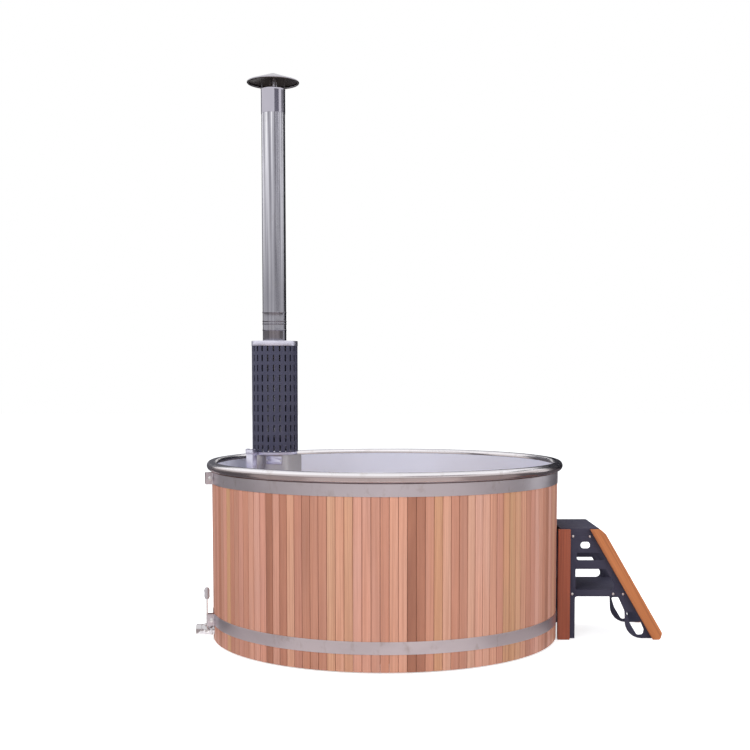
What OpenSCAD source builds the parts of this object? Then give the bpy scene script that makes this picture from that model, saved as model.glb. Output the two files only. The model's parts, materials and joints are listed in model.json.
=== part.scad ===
// Wooden hot tub with a steel liner, an inside wood stove, a guarded chimney and loose steps.
// The tub stands on its beams at z = 0, with the axis of the tub on Z and the steps on +X.

/* [Tub] */
// Diameter across the flats of the staves
tub_d = 2000; // [1600:10:2400]
// Height of the top of the rolled rim above the ground
rim_z = 1026; // [800:1:1200]
// Number of staves
stave_count = 136; // [80:2:180]
// Thickness of a stave
stave_t = 24; // [18:0.5:30]
// Gap between two neighbouring staves
stave_gap = 0.3; // [0.2:0.1:1]
// Clearance between the ground and the staves
stave_lift = 6; // [2:1:20]
// Radius of the half-round bead on a stave's edge
bead_r = 5; // [3:0.5:6]
// Sheet thickness of the liner
liner_t = 2; // [1:0.5:4]
// Outside diameter of the rolled rim
rim_d = 54; // [40:1:70]
// Height of the beams under the floor
beam_h = 96; // [80:1:140]
// Width of a beam
beam_w = 70; // [45:1:100]
// Thickness of the floor board under the liner
deck_t = 18; // [12:1:25]

/* [Hoops] */
// Height of a hoop's band
hoop_h = 66; // [40:1:80]
// Sheet thickness of a hoop
hoop_t = 2; // [1.5:0.5:4]
// Height of the lower hoop's bottom edge above the ground
hoop_low_z = 98; // [97:1:200]
// Free width between the two ears of a hoop
ear_gap = 38; // [20:1:60]
// How far an ear stands out
ear_out = 44; // [30:1:70]
// Diameter of a tension bolt
bolt_d = 12; // [8:1:16]

/* [Bench] */
// Height of the seat above the ground
seat_z = 455; // [350:1:550]
// Width of the seat
seat_w = 290; // [200:1:350]
// Number of straight bench sections
bench_sections = 9; // [7:1:11]
// Thickness of the seat boards
seat_t = 26; // [18:1:35]

/* [Stove] */
// Direction of the stove from the tub's axis, in degrees
stove_dir = 149.4; // [140:0.1:160]
// Distance of the flue from the tub's axis
flue_r = 785; // [700:1:800]
// Length of the firebox along its radius
fire_l = 395; // [350:1:420]
// Width of the firebox
fire_w = 500; // [450:1:520]
// Height of the firebox's top above the ground
fire_top = 855; // [800:1:870]
// Sheet thickness of the stove
fire_t = 4; // [3:0.5:6]
// Height of the neck's top above the ground
neck_top = 1030; // [1000:1:1040]
// Outside width of the square air pipe
air_d = 46; // [35:1:50]

/* [Chimney] */
// Outside diameter of the flue pipe
flue_d = 145; // [120:1:160]
// Sheet thickness of the flue pipe
flue_t = 1.5; // [1:0.5:3]
// Height of the pipe's top above the ground
flue_top = 3241; // [2500:1:3500]
// Outside diameter of the heat guard
guard_d = 280; // [240:1:300]
// Height of the heat guard, from its lower to its upper edge
guard_h = 675; // [400:1:900]
// Rows of slots in the heat guard
guard_rows = 11; // [6:1:14]
// Columns of slots round the heat guard
guard_cols = 24; // [18:2:32]
// Width of a slot
slot_w = 10; // [8:1:14]
// Height of a slot
slot_h = 42; // [25:1:44]
// Diameter of the rain cap
cap_d = 315; // [240:1:400]
// Height of the rain cap's cone
cap_h = 62; // [40:1:90]

/* [Drain] */
// Outside diameter of the drain pipe
drain_d = 58; // [40:1:60]
// Free height between the drain pipe and the floor board above it
drain_gap = 2; // [1:0.5:8]
// Side distance of the drain pipe from the tub's axis
drain_y = -215; // [-260:1:-180]
// Length of the valve's lever, from the stem to the grip's top
lever_l = 250; // [200:1:300]

/* [Steps] */
// Height of the upper tread
step_h = 639; // [600:1:700]
// Height of the lower tread
step_low = 284; // [270:1:320]
// Width between the outer faces of the two side plates
step_w = 460; // [380:1:550]
// Thickness of the side plates and treads
plate_t = 3; // [2:0.5:5]
// Thickness of the wooden boards on the sides
board_t = 28; // [20:1:35]
// Gap between the tub's wall and the steps
step_gap = 6; // [4:1:20]
// How far the middle of the steps lies behind the tub's axis
step_y = 50; // [0:5:80]

/* [Hidden] */
round_fn = 180;          // circles as wide as the tub
pipe_fn = 96;
small_fn = 48;
touch = 0.3;             // free gap between curved faces that lie against each other
wood = "peru";
steel = "silver";
dark = "dimgray";

// Tub
stave_r = tub_d / 2;
stave_in = stave_r - stave_t;
liner_out = stave_in - touch;
liner_in = liner_out - liner_t;
rim_r = rim_d / 2;
rim_c = stave_in + rim_r;                  // radius of the rolled rim's centre line
rim_mid = rim_z - rim_r;
stave_top = rim_z - rim_d - 4;
rim_t = 2;
half_pitch = 180 / stave_count;
deck_top = beam_h + deck_t;
floor_z = deck_top + liner_t;              // top of the liner's floor
deck_r = liner_in - 8;
beam_ys = [0, 0.42, -0.42, 0.76, -0.76];   // places of the beams, as shares of the tub's radius

// Hoops
hoop_in = stave_r / cos(half_pitch) + touch;
hoop_out = hoop_in + hoop_t;
hoop_top_z = stave_top - hoop_h;
ear_t = 4;
ear_dir = 195;                             // direction of the hoops' ears
bolt_r = hoop_out + bolt_d * 1.5;

// Drain
wall_x = -sqrt(stave_r * stave_r - drain_y * drain_y);
drain_t = 3;
drain_z = beam_h - drain_d / 2 - drain_gap;
drain_hole_r = drain_d / 2 + 0.5;
bend_r = drain_d / 2 + drain_gap - 0.5;    // the bend ends just under the floor board
drain_x = -(liner_in - 90);                // axis of the floor drain
valve_len = 46;
valve_x = wall_x - 8 - valve_len;          // outer end of the valve body
valve_mid = valve_x + valve_len / 2;
valve_r = drain_d / 2 + 3;
ball_r = valve_len / 2 - 3;
stem_d = 10;
lever_y = drain_y - valve_r - 20;
tail_len = 42;

// Stove, in a frame turned to stove_dir: x runs out along the radius
fire_x1 = flue_r + 110;
fire_x0 = fire_x1 - fire_l;
air_y = guard_d / 2 + air_d / 2 - 1;       // the air pipe stands beside the heat guard
fire_y1 = air_y + 38;
fire_y0 = fire_y1 - fire_w;
leg_h = 30;
fire_z0 = floor_z + leg_h;
neck_x0 = flue_r - flue_d - 1;
neck_x1 = flue_r + flue_d / 2 + 29.5;
neck_w = flue_d + 15;
air_x = flue_r + 61;
air_top = neck_top + 32;
hatch_l = 330;
hatch_w = 110;
hatch_x = (fire_x0 + fire_x1) / 2;
hatch_y = fire_y0 + 44 + hatch_w / 2;
rim_h = 8;                                 // height of the frame round the fuel opening
lid_z = fire_top + rim_h;
lid_t = 4;
hinge_y = hatch_y - hatch_w / 2 - 22;
hinge_z = lid_z + 5;
pin_d = 8;
knuckle_d = 16;
grate_z = fire_z0 + 90;
soot_x = neck_x0 + 97;
soot_w = 116;
soot_h = 50;

// Chimney
flue_ro = flue_d / 2;
flue_ri = flue_ro - flue_t;
guard_ro = guard_d / 2;
guard_t = 1.5;
guard_z0 = neck_top + 16;
guard_z1 = guard_z0 + guard_h;
seam_z = guard_z1 + 99;                    // joint between the lower and the upper pipe
cowl_z = flue_top - 147;
cap_z = flue_top + 34;
sleeve = 25;
slot_z0 = 3;                               // lower edge of the first row, above the guard's edge
row_pitch = (guard_h - 66) / (guard_rows - 1);

// Steps
plate_out = step_w / 2;
plate_in = plate_out - plate_t;
step_x0 = stave_r + step_gap;
near_y = plate_out - step_y;               // distance of the nearer side plate from the tub's axis
post_x0 = sqrt(hoop_out * hoop_out - near_y * near_y) + 4.4;
post_x1 = step_x0 + 55;
lean = 0.577;                              // run of the slanting board for each unit of height
board_top = step_h - plate_t;
bolt_low_z = step_low - 24;
bolt_up_z = step_h - 46;
bolt_xs_low = [71, 307, 364];
bolt_xs_up = [72, 170];

// ---------- helpers ----------

// Point at share t of the way from a to b
function mix2(a, b, t) = a + (b - a) * t;

// Points of a fillet of radius r at corner b of the path a, b, c
function corner(a, b, c, r, n = 6) =
    let (u = (a - b) / norm(a - b),
         v = (c - b) / norm(c - b),
         half = acos(u * v) / 2,
         d = r / tan(half),
         m = b + (u + v) / norm(u + v) * r / sin(half),
         p = b + u * d,
         q = b + v * d,
         a0 = atan2(p[1] - m[1], p[0] - m[0]),
         turn0 = atan2(q[1] - m[1], q[0] - m[0]) - a0,
         turn = turn0 > 180 ? turn0 - 360 : turn0 < -180 ? turn0 + 360 : turn0)
    r == 0 ? [b] : [for (i = [0:n]) m + r * [cos(a0 + turn * i / n), sin(a0 + turn * i / n)]];

// Outline through pts whose corners are rounded by the radii in rs
function rounded(pts, rs, n = 6) =
    let (k = len(pts))
    [for (i = [0:k - 1]) each corner(pts[(i + k - 1) % k], pts[i], pts[(i + 1) % k], rs[i], n)];

// Rectangle with true round corners, centred
module round_rect(w, h, r) {
    square([w - 2 * r, h], center = true);
    square([w, h - 2 * r], center = true);
    for (x = [-1, 1], y = [-1, 1])
        translate([x * (w / 2 - r), y * (h / 2 - r)])
            circle(r, $fn = small_fn);
}

module tube(ro, ri, h, fn = pipe_fn) {
    difference() {
        cylinder(r = ro, h = h, $fn = fn);
        translate([0, 0, -1])
            cylinder(r = ri, h = h + 2, $fn = fn);
    }
}

module at_stove() {
    rotate([0, 0, stove_dir])
        children();
}

module at_flue(z = 0) {
    at_stove()
        translate([flue_r, 0, z])
            children();
}

// Flat outline in the X-Z plane, from y0 towards +Y
module upright(y0, t) {
    translate([0, y0 + t, 0])
        rotate([90, 0, 0])
            linear_extrude(t)
                children();
}

// ---------- tub ----------

module skids() {
    color("burlywood")
        for (share = beam_ys) {
            y = share * stave_r;
            reach = abs(y) + beam_w / 2;
            l = 2 * sqrt(deck_r * deck_r - reach * reach) - 20;
            translate([-l / 2, y - beam_w / 2, 0])
                cube([l, beam_w, beam_h]);
        }
}

module floor_deck() {
    color("tan")
        difference() {
            translate([0, 0, beam_h])
                cylinder(r = deck_r, h = deck_t, $fn = round_fn);
            translate([drain_x, drain_y, beam_h - 1])
                cylinder(d = drain_d + 2, h = deck_t + 2, $fn = pipe_fn);
        }
}

module liner() {
    color(steel)
        difference() {
            rotate_extrude($fn = round_fn) {
                translate([liner_in, deck_top])
                    square([liner_t, rim_mid - deck_top]);
                translate([0, deck_top])
                    square([liner_in + liner_t, liner_t]);
            }
            translate([drain_x, drain_y, deck_top - 1])
                cylinder(d = drain_d - 2 * drain_t, h = liner_t + 2, $fn = pipe_fn);
        }
}

// Rolled rim: a sheet curled outwards over the staves, open on the side that faces them
module rim() {
    color(steel)
        rotate_extrude($fn = round_fn)
            translate([rim_c, rim_mid])
                difference() {
                    circle(rim_r, $fn = small_fn);
                    circle(rim_r - rim_t, $fn = small_fn);
                    translate([-rim_r * 2, -rim_r * 2])
                        square([rim_r * 2 - 8, rim_r * 2]);
                }
}

// One stave in section, along +X: a bead on one edge and a cove on the other
module stave_section() {
    slope = tan(half_pitch);
    mid = stave_r - stave_t / 2;
    bevel = 2;
    side_in = stave_in * slope - stave_gap / 2;
    side_out = stave_r * slope - stave_gap / 2;
    sunk = bead_r * 0.37;
    difference() {
        union() {
            polygon([[stave_in, -side_in], [stave_r - bevel, -side_out], [stave_r, bevel - side_out],
                     [stave_r, side_out - bevel], [stave_r - bevel, side_out], [stave_in, side_in]]);
            translate([mid, mid * slope - sunk])
                circle(bead_r, $fn = small_fn);
        }
        translate([mid, -mid * slope - sunk])
            circle(bead_r + stave_gap, $fn = small_fn);
    }
}

module stave(i) {
    rotate([0, 0, 2 * half_pitch * i])
        translate([0, 0, stave_lift])
            linear_extrude(stave_top - stave_lift)
                stave_section();
}

// Directions between which the drain pipe's hole cuts the wall
drill_from = 180 + asin((-drain_y - drain_hole_r) / stave_r);
drill_to = 180 + asin((drain_hole_r - drain_y) / stave_in);

// True for a stave that the drain pipe passes through
function drilled(i) =
    let (a = 2 * half_pitch * i)
    a + half_pitch + atan(bead_r / stave_r) > drill_from && a - half_pitch < drill_to;

module staves() {
    color(wood)
        for (i = [0:stave_count - 1])
            if (!drilled(i))
                stave(i);
}

module drain_staves() {
    color(wood)
        for (i = [0:stave_count - 1])
            if (drilled(i))
                difference() {
                    stave(i);
                    translate([wall_x + 60, drain_y, drain_z])
                        rotate([0, -90, 0])
                            cylinder(r = drain_hole_r, h = 120, $fn = pipe_fn);
                }
}

// ---------- hoops ----------

module hoop(z0) {
    translate([0, 0, z0])
        rotate([0, 0, ear_dir])
            difference() {
                union() {
                    difference() {
                        tube(hoop_out, hoop_in, hoop_h, round_fn);
                        translate([0, -ear_gap / 2, -1])
                            cube([hoop_out + 10, ear_gap, hoop_h + 2]);
                    }
                    for (s = [-1, 1])
                        translate([hoop_in + 0.4, s * (ear_gap + ear_t) / 2 - ear_t / 2, 0])
                            cube([ear_out, ear_t, hoop_h]);
                }
                translate([bolt_r, -60, hoop_h / 2])
                    rotate([-90, 0, 0])
                        cylinder(d = bolt_d + 1, h = 120, $fn = small_fn);
            }
}

module upper_hoop() {
    color(steel)
        hoop(hoop_top_z);
}

module lower_hoop() {
    color(steel)
        hoop(hoop_low_z);
}

module at_ears() {
    for (z = [hoop_top_z, hoop_low_z])
        translate([0, 0, z + hoop_h / 2])
            rotate([0, 0, ear_dir])
                translate([bolt_r, 0, 0])
                    rotate([-90, 0, 0])
                        children();
}

module hoop_bolts() {
    side = ear_gap / 2 + ear_t;
    color(steel)
        at_ears() {
            translate([0, 0, -side - 8])
                cylinder(r = bolt_d, h = 8, $fn = 6);
            translate([0, 0, -side - 1])
                cylinder(d = bolt_d, h = 2 * side + 26, $fn = small_fn);
        }
}

module hoop_nuts() {
    side = ear_gap / 2 + ear_t;
    color(steel)
        at_ears()
            translate([0, 0, side])
                difference() {
                    union() {
                        cylinder(r = bolt_d * 1.15, h = 3, $fn = small_fn);
                        cylinder(r = bolt_d, h = 13, $fn = 6);
                    }
                    translate([0, 0, -1])
                        cylinder(d = bolt_d + 0.2, h = 20, $fn = small_fn);
                }
}

// ---------- bench ----------

bench_from = 200;                            // direction of the bench's first end
bench_turn = 268;                            // angle that the bench covers
section_turn = bench_turn / bench_sections;
seat_out = (liner_in - 14) * cos(section_turn / 2);
slat_w = (seat_w - 20) / 3;

module bench_slats() {
    half = section_turn / 2;
    color(wood)
        for (i = [0:bench_sections - 1], k = [0:2]) {
            ro = seat_out - k * (slat_w + 10);
            ri = ro - slat_w;
            rotate([0, 0, bench_from + section_turn * (i + 0.5)])
                translate([0, 0, seat_z - seat_t])
                    linear_extrude(seat_t)
                        polygon([[ri, 2 - ri * tan(half)], [ro, 2 - ro * tan(half)],
                                 [ro, ro * tan(half) - 2], [ri, ri * tan(half) - 2]]);
        }
}

// A post, a wall cleat and the arm that carries the slats, cut from one board
module bench_supports() {
    arm_in = seat_out - seat_w + 20;
    arm_out = seat_out - 4;
    under = seat_z - seat_t;
    color("burlywood")
        for (i = [0:bench_sections]) {
            rotate([0, 0, bench_from + section_turn * i])
                upright(-16, 32)
                    polygon(rounded([[arm_in, under], [arm_in, under - 50], [arm_in + 60, under - 95],
                                     [arm_in + 60, floor_z], [arm_in + 130, floor_z],
                                     [arm_in + 130, under - 95], [arm_out, under - 95], [arm_out, under]],
                                    [0, 18, 18, 0, 0, 30, 0, 0]));
        }
}

// ---------- drain ----------

module drain_strainer() {
    color(steel)
        translate([drain_x, drain_y, floor_z])
            difference() {
                union() {
                    cylinder(d = drain_d + 30, h = 3, $fn = pipe_fn);
                    translate([0, 0, -6])
                        cylinder(d = drain_d - 2 * drain_t - 0.4, h = 7, $fn = pipe_fn);
                }
                translate([0, 0, -7])
                    cylinder(d = drain_d - 2 * drain_t - 6, h = 8, $fn = pipe_fn);
                for (a = [0:45:315])
                    rotate([0, 0, a])
                        translate([8, -2, -8])
                            cube([14, 4, 20]);
            }
}

module drain_elbow() {
    ro = drain_d / 2;
    color(dark)
        difference() {
            union() {
                translate([drain_x, drain_y, drain_z + bend_r])
                    cylinder(r = ro, h = deck_top - drain_z - bend_r, $fn = pipe_fn);
                translate([drain_x - bend_r, drain_y, drain_z + bend_r])
                    rotate([90, 0, 0])
                        rotate([0, 0, -90])
                            rotate_extrude(angle = 90, $fn = pipe_fn)
                                translate([bend_r, 0])
                                    circle(ro, $fn = small_fn);
            }
            translate([drain_x, drain_y, drain_z + bend_r])
                cylinder(r = ro - drain_t, h = 40, $fn = pipe_fn);
            translate([drain_x - bend_r, drain_y, drain_z + bend_r])
                rotate([90, 0, 0])
                    rotate([0, 0, -90])
                        rotate_extrude(angle = 90, $fn = pipe_fn)
                            translate([bend_r, 0])
                                circle(ro - drain_t, $fn = small_fn);
        }
}

// A cylinder along -X on the drain's axis, from x to x - l
module along_drain(x, l, d, fn = pipe_fn) {
    translate([x, drain_y, drain_z])
        rotate([0, -90, 0])
            cylinder(d = d, h = l, $fn = fn);
}

module drain_pipe() {
    start = drain_x - bend_r;
    color(steel)
        difference() {
            along_drain(start, start - valve_x - valve_len, drain_d);
            along_drain(start + 1, start - valve_x - valve_len + 2, drain_d - 2 * drain_t);
        }
}

module valve_body() {
    color(steel)
        difference() {
            union() {
                along_drain(valve_x + valve_len, valve_len, 2 * valve_r);
                for (x = [valve_x + valve_len, valve_x + 9])
                    along_drain(x, 9, 2 * valve_r + 5, 8);
                translate([valve_mid, drain_y, drain_z])
                    rotate([90, 0, 0])
                        cylinder(d = 22, h = valve_r + 9, $fn = small_fn);
            }
            along_drain(valve_mid + ball_r + 0.2, 2 * ball_r + 0.4, 2 * ball_r + 0.6);
            along_drain(valve_x + valve_len + 1, valve_len + 2, 2 * ball_r - 14);
            translate([valve_mid, drain_y, drain_z])
                rotate([90, 0, 0])
                    cylinder(d = stem_d + 0.1, h = valve_r + 30, $fn = small_fn);
        }
}

module outlet_tail() {
    ro = drain_d / 2;
    color(steel)
        translate([valve_x, drain_y, drain_z])
            rotate([0, -90, 0]) {
                tube(ro, ro - drain_t, tail_len);
                translate([0, 0, tail_len])
                    difference() {
                        cylinder(r = ro, h = 4, $fn = pipe_fn);
                        translate([0, 0, -1])
                            cylinder(r = ro - drain_t - 4, h = 6, $fn = pipe_fn);
                    }
            }
}

// The ball is shut at rest: its bore lies across the pipe
module valve_ball() {
    color("gainsboro")
        translate([valve_mid, drain_y, drain_z])
            difference() {
                sphere(r = ball_r, $fn = pipe_fn);
                translate([0, 0, -ball_r - 1])
                    cylinder(d = 2 * ball_r - 16, h = 2 * ball_r + 2, $fn = pipe_fn);
                translate([0, 1 - ball_r, 0])
                    cube([stem_d - 3, 6, 6], center = true);
            }
}

module valve_stem() {
    color("goldenrod")
        translate([valve_mid, 0, drain_z]) {
            translate([0, drain_y - ball_r - 0.1, 0])
                rotate([90, 0, 0])
                    cylinder(d = stem_d, h = drain_y - ball_r - lever_y - 5.1, $fn = small_fn);
            translate([0, drain_y - ball_r + 1.5, 0])
                cube([stem_d - 3.2, 4, 5.8], center = true);
        }
}

module valve_lever() {
    hub = 22;
    color(steel)
        translate([valve_mid, lever_y, drain_z])
            difference() {
                union() {
                    rotate([90, 0, 0])
                        cylinder(d = hub, h = 14, center = true, $fn = small_fn);
                    cylinder(d = 8, h = lever_l - 60, $fn = small_fn);
                }
                rotate([90, 0, 0])
                    translate([0, 0, -8])
                        cylinder(d = stem_d + 0.05, h = 3 + 0.01, $fn = small_fn);
            }
}

module lever_grip() {
    color("black")
        translate([valve_mid, lever_y, drain_z + lever_l - 66])
            difference() {
                union() {
                    cylinder(r1 = 11, r2 = 16, h = 12, $fn = small_fn);
                    translate([0, 0, 12])
                        cylinder(r = 16, h = 42, $fn = small_fn);
                    translate([0, 0, 54])
                        cylinder(r1 = 16, r2 = 9, h = 12, $fn = small_fn);
                }
                translate([0, 0, -1])
                    cylinder(d = 8.2, h = 7, $fn = small_fn);
            }
}

// ---------- stove ----------

module firebox() {
    cx = (fire_x0 + fire_x1) / 2;
    cy = (fire_y0 + fire_y1) / 2;
    neck_cx = (neck_x0 + neck_x1) / 2;
    neck_l = neck_x1 - neck_x0;
    ledge = 8;
    color("lightgray")
        at_stove()
            difference() {
                union() {
                    translate([cx, cy, fire_z0])
                        linear_extrude(fire_top - fire_z0)
                            round_rect(fire_l, fire_w, 30);
                    translate([neck_cx, 0, fire_top - fire_t])
                        linear_extrude(neck_top - fire_top + fire_t)
                            round_rect(neck_l, neck_w, 14);
                    translate([hatch_x, hatch_y, fire_top - 1])
                        linear_extrude(rim_h + 1)
                            round_rect(hatch_l + 8, hatch_w + 8, 14);
                }
                translate([cx, cy, grate_z])
                    linear_extrude(fire_top - grate_z - fire_t)
                        round_rect(fire_l - 2 * fire_t, fire_w - 2 * fire_t, 26);
                translate([cx, cy, fire_z0 + fire_t])
                    linear_extrude(grate_z - fire_z0)
                        round_rect(fire_l - 2 * fire_t - 2 * ledge, fire_w - 2 * fire_t - 2 * ledge, 20);
                translate([neck_cx, 0, fire_top - fire_t - 1])
                    linear_extrude(neck_top - fire_top + 1)
                        round_rect(neck_l - 2 * fire_t, neck_w - 2 * fire_t, 10);
                translate([hatch_x, hatch_y, fire_top - fire_t - 2])
                    linear_extrude(rim_h + fire_t + 4)
                        round_rect(hatch_l, hatch_w, 10);
                translate([flue_r, 0, neck_top - fire_t - 1])
                    cylinder(r = flue_ri, h = fire_t + 2, $fn = pipe_fn);
                translate([air_x, air_y, fire_top - fire_t / 2])
                    cube([air_d + 0.4, air_d + 0.4, fire_t + 2], center = true);
                translate([soot_x, neck_w / 2, neck_top - 34])
                    cube([soot_w - 24, 20, soot_h - 20], center = true);
            }
}

module firebox_legs() {
    color("lightgray")
        at_stove()
            for (x = [fire_x0 + 45, fire_x1 - 45], y = [fire_y0 + 45, fire_y1 - 45])
                translate([x, y, floor_z])
                    tube(18, 15, leg_h, small_fn);
}

module grate() {
    l = fire_l - 2 * fire_t - 6;
    w = fire_w - 2 * fire_t - 6;
    bar = 14;
    gap = 14;
    n = floor((w - 2 * bar) / (bar + gap));
    run = n * (bar + gap) - bar;
    color("darkslategray")
        at_stove()
            translate([(fire_x0 + fire_x1) / 2, (fire_y0 + fire_y1) / 2, grate_z])
                difference() {
                    linear_extrude(12)
                        round_rect(l, w, 22);
                    for (i = [0:n - 1])
                        translate([28 - l / 2, -run / 2 + i * (bar + gap), -1])
                            cube([l - 56, gap, 14]);
                    translate([air_x - (fire_x0 + fire_x1) / 2, air_y - (fire_y0 + fire_y1) / 2, 6])
                        cube([air_d + 4, air_d + 4, 14], center = true);
                }
}

module soot_hatch() {
    color(steel)
        at_stove()
            translate([soot_x, neck_w / 2, neck_top - 34])
                rotate([-90, 0, 0])
                    linear_extrude(3)
                        difference() {
                            round_rect(soot_w, soot_h, 8);
                            for (s = [-1, 1])
                                translate([s * (soot_w / 2 - 7), 0])
                                    circle(d = 6, $fn = small_fn);
                        }
}

module hatch_screws() {
    color(steel)
        at_stove()
            for (s = [-1, 1])
                translate([soot_x + s * (soot_w / 2 - 7), neck_w / 2, neck_top - 34])
                    rotate([-90, 0, 0]) {
                        translate([0, 0, 3])
                            cylinder(d1 = 12, d2 = 8, h = 4, $fn = small_fn);
                        cylinder(d = 5.6, h = 4, $fn = small_fn);
                    }
}

module fuel_lid() {
    l = hatch_l + 24;
    w = hatch_w + 24;
    skirt = 6;
    color(steel)
        at_stove()
            difference() {
                union() {
                    translate([hatch_x, hatch_y, lid_z])
                        linear_extrude(lid_t)
                            round_rect(l, w, 18);
                    translate([hatch_x, hatch_y, lid_z - skirt])
                        linear_extrude(skirt + 1)
                            difference() {
                                round_rect(l, w, 18);
                                round_rect(l - 6, w - 6, 15);
                            }
                    for (s = [-1, 1])
                        translate([hatch_x + s * 100, hinge_y, hinge_z])
                            rotate([0, 90, 0])
                                cylinder(d = knuckle_d, h = 50, center = true, $fn = small_fn);
                    for (s = [-1, 1])
                        translate([hatch_x + s * 100 - 25, hinge_y, lid_z])
                            cube([50, hatch_y - w / 2 - hinge_y + 4, lid_t]);
                }
                translate([hatch_x - 150, hinge_y, hinge_z])
                    rotate([0, 90, 0])
                        cylinder(d = pin_d + 0.1, h = 300, $fn = small_fn);
            }
}

module lid_handle() {
    z = lid_z + lid_t;
    color("saddlebrown")
        at_stove()
            translate([hatch_x, hatch_y + 34, z]) {
                for (s = [-1, 1])
                    translate([s * 55, 0, 0])
                        cylinder(d = 10, h = 34, $fn = small_fn);
                translate([-72, 0, 34])
                    rotate([0, 90, 0])
                        cylinder(d = 20, h = 144, $fn = small_fn);
            }
}

// Two fixed knuckles outside the lid's own, on a strip welded to the stove's top
module lid_hinge() {
    color(steel)
        at_stove()
            difference() {
                union() {
                    for (s = [-1, 1])
                        translate([hatch_x + s * 145, hinge_y, hinge_z])
                            rotate([0, 90, 0])
                                cylinder(d = knuckle_d, h = 36, center = true, $fn = small_fn);
                    for (s = [-1, 1])
                        translate([hatch_x + s * 145 - 18, hinge_y - 4, fire_top])
                            cube([36, 8, hinge_z - fire_top]);
                }
                translate([hatch_x - 180, hinge_y, hinge_z])
                    rotate([0, 90, 0])
                        cylinder(d = pin_d + 0.1, h = 360, $fn = small_fn);
            }
}

module lid_pin() {
    color(steel)
        at_stove()
            translate([hatch_x - 168, hinge_y, hinge_z])
                rotate([0, 90, 0]) {
                    cylinder(d = pin_d, h = 336, $fn = small_fn);
                    translate([0, 0, -4])
                        cylinder(d = 12, h = 4, $fn = small_fn);
                }
}

// Upright square box round the air pipe's axis, from height z
module air_box(z, w, h) {
    translate([air_x - w / 2, air_y - w / 2, z])
        cube([w, w, h]);
}

module air_pipe() {
    from = grate_z - 40;
    color(steel)
        at_stove()
            difference() {
                air_box(from, air_d, air_top - from);
                air_box(from - 1, air_d - 4, air_top - from + 2);
            }
}

flap_x = air_x + air_d / 2 + 7;
flap_z = air_top + touch + 1;
flap_pin = 4;

// Flat lid with a finger tab, turning on a pin beside the pipe
module air_flap() {
    color("lightgray")
        at_stove()
            difference() {
                union() {
                    translate([air_x - air_d / 2 - 1, air_y - air_d / 2 - 1, air_top + touch])
                        cube([air_d + 1, air_d + 2, 2]);
                    translate([air_x - air_d / 2 - 11, air_y - 10, air_top + touch])
                        cube([12, 20, 2]);
                    translate([air_x, air_y - 9, air_top + touch])
                        cube([flap_x - air_x, 18, 2]);
                    translate([flap_x, air_y, flap_z])
                        rotate([90, 0, 0])
                            cylinder(d = 8, h = 18, center = true, $fn = small_fn);
                }
                translate([flap_x, air_y, flap_z])
                    rotate([90, 0, 0])
                        cylinder(d = flap_pin + 0.1, h = 40, center = true, $fn = small_fn);
            }
}

// Two ears on a band round the air pipe, with the flap's pin through them
module flap_bracket() {
    low = air_top - 26;
    side = air_x + air_d / 2 + 0.2;
    color(steel)
        at_stove() {
            difference() {
                union() {
                    air_box(low, air_d + 6, 14);
                    for (s = [-1, 1]) {
                        translate([side, air_y + s * 13 - 2.5, low])
                            cube([flap_x + 4 - side, 5, 20]);
                        translate([flap_x - 4, air_y + s * 13 - 2.5, low])
                            cube([8, 5, flap_z + 4 - low]);
                    }
                }
                air_box(low - 1, air_d + 0.4, 40);
            }
            translate([flap_x, air_y, flap_z])
                rotate([90, 0, 0])
                    cylinder(d = flap_pin, h = 32, center = true, $fn = small_fn);
        }
}

// ---------- fence between the stove and the bathers ----------

fence_t = 20;
fence_x0 = fire_x0 - 60;
fence_x1 = 880;
fence_y0 = fire_y0 - 45;
fence_y1 = fire_y1 + 45;
fence_top = fire_top + 40;
fence_slat = 62;
fence_pitch = 86;

module fence_rails() {
    color("burlywood")
        at_stove()
            for (z = [floor_z + 110, fence_top - 150])
                translate([0, 0, z])
                    linear_extrude(50) {
                        translate([fence_x0, fence_y0])
                            square([fence_t, fence_y1 - fence_y0]);
                        translate([fence_x0, fence_y0])
                            square([fence_x1 - fence_x0, fence_t]);
                        translate([fence_x0, fence_y1 - fence_t])
                            square([fence_x1 - fence_x0, fence_t]);
                    }
}

module fence_board() {
    linear_extrude(fence_top - floor_z)
        children();
}

module fence_slats() {
    front = floor((fence_y1 - fence_y0 - fence_slat) / fence_pitch);
    front_y = (fence_y0 + fence_y1 - front * fence_pitch - fence_slat) / 2;
    side = floor((fence_x1 - fence_x0 - fence_slat) / fence_pitch);
    color(wood)
        at_stove()
            translate([0, 0, floor_z]) {
                for (i = [0:front])
                    translate([fence_x0 - fence_t, front_y + i * fence_pitch])
                        fence_board()
                            square([fence_t, fence_slat]);
                for (i = [0:side]) {
                    translate([fence_x0 + i * fence_pitch, fence_y0 - fence_t])
                        fence_board()
                            square([fence_slat, fence_t]);
                    translate([fence_x0 + i * fence_pitch, fence_y1])
                        fence_board()
                            square([fence_slat, fence_t]);
                }
            }
}

// ---------- chimney ----------

module flue_collar() {
    color(steel)
        at_flue(neck_top) {
            tube(flue_ro + 2, flue_ro, 30);
            tube(flue_ro + 7, flue_ro, 3);
        }
}

module guard_base() {
    ring_r = guard_ro - guard_t - 3;
    color("lavender")
        at_flue(neck_top) {
            tube(ring_r, ring_r - 2, guard_z0 - neck_top + 9);
            tube(ring_r, flue_ro + 8, 2);
            for (a = [45:90:315])
                rotate([0, 0, a])
                    translate([ring_r - 2, 0, guard_z0 - neck_top + 4])
                        rotate([0, 90, 0])
                            cylinder(d = 7, h = 4.85, $fn = small_fn);
        }
}

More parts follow.
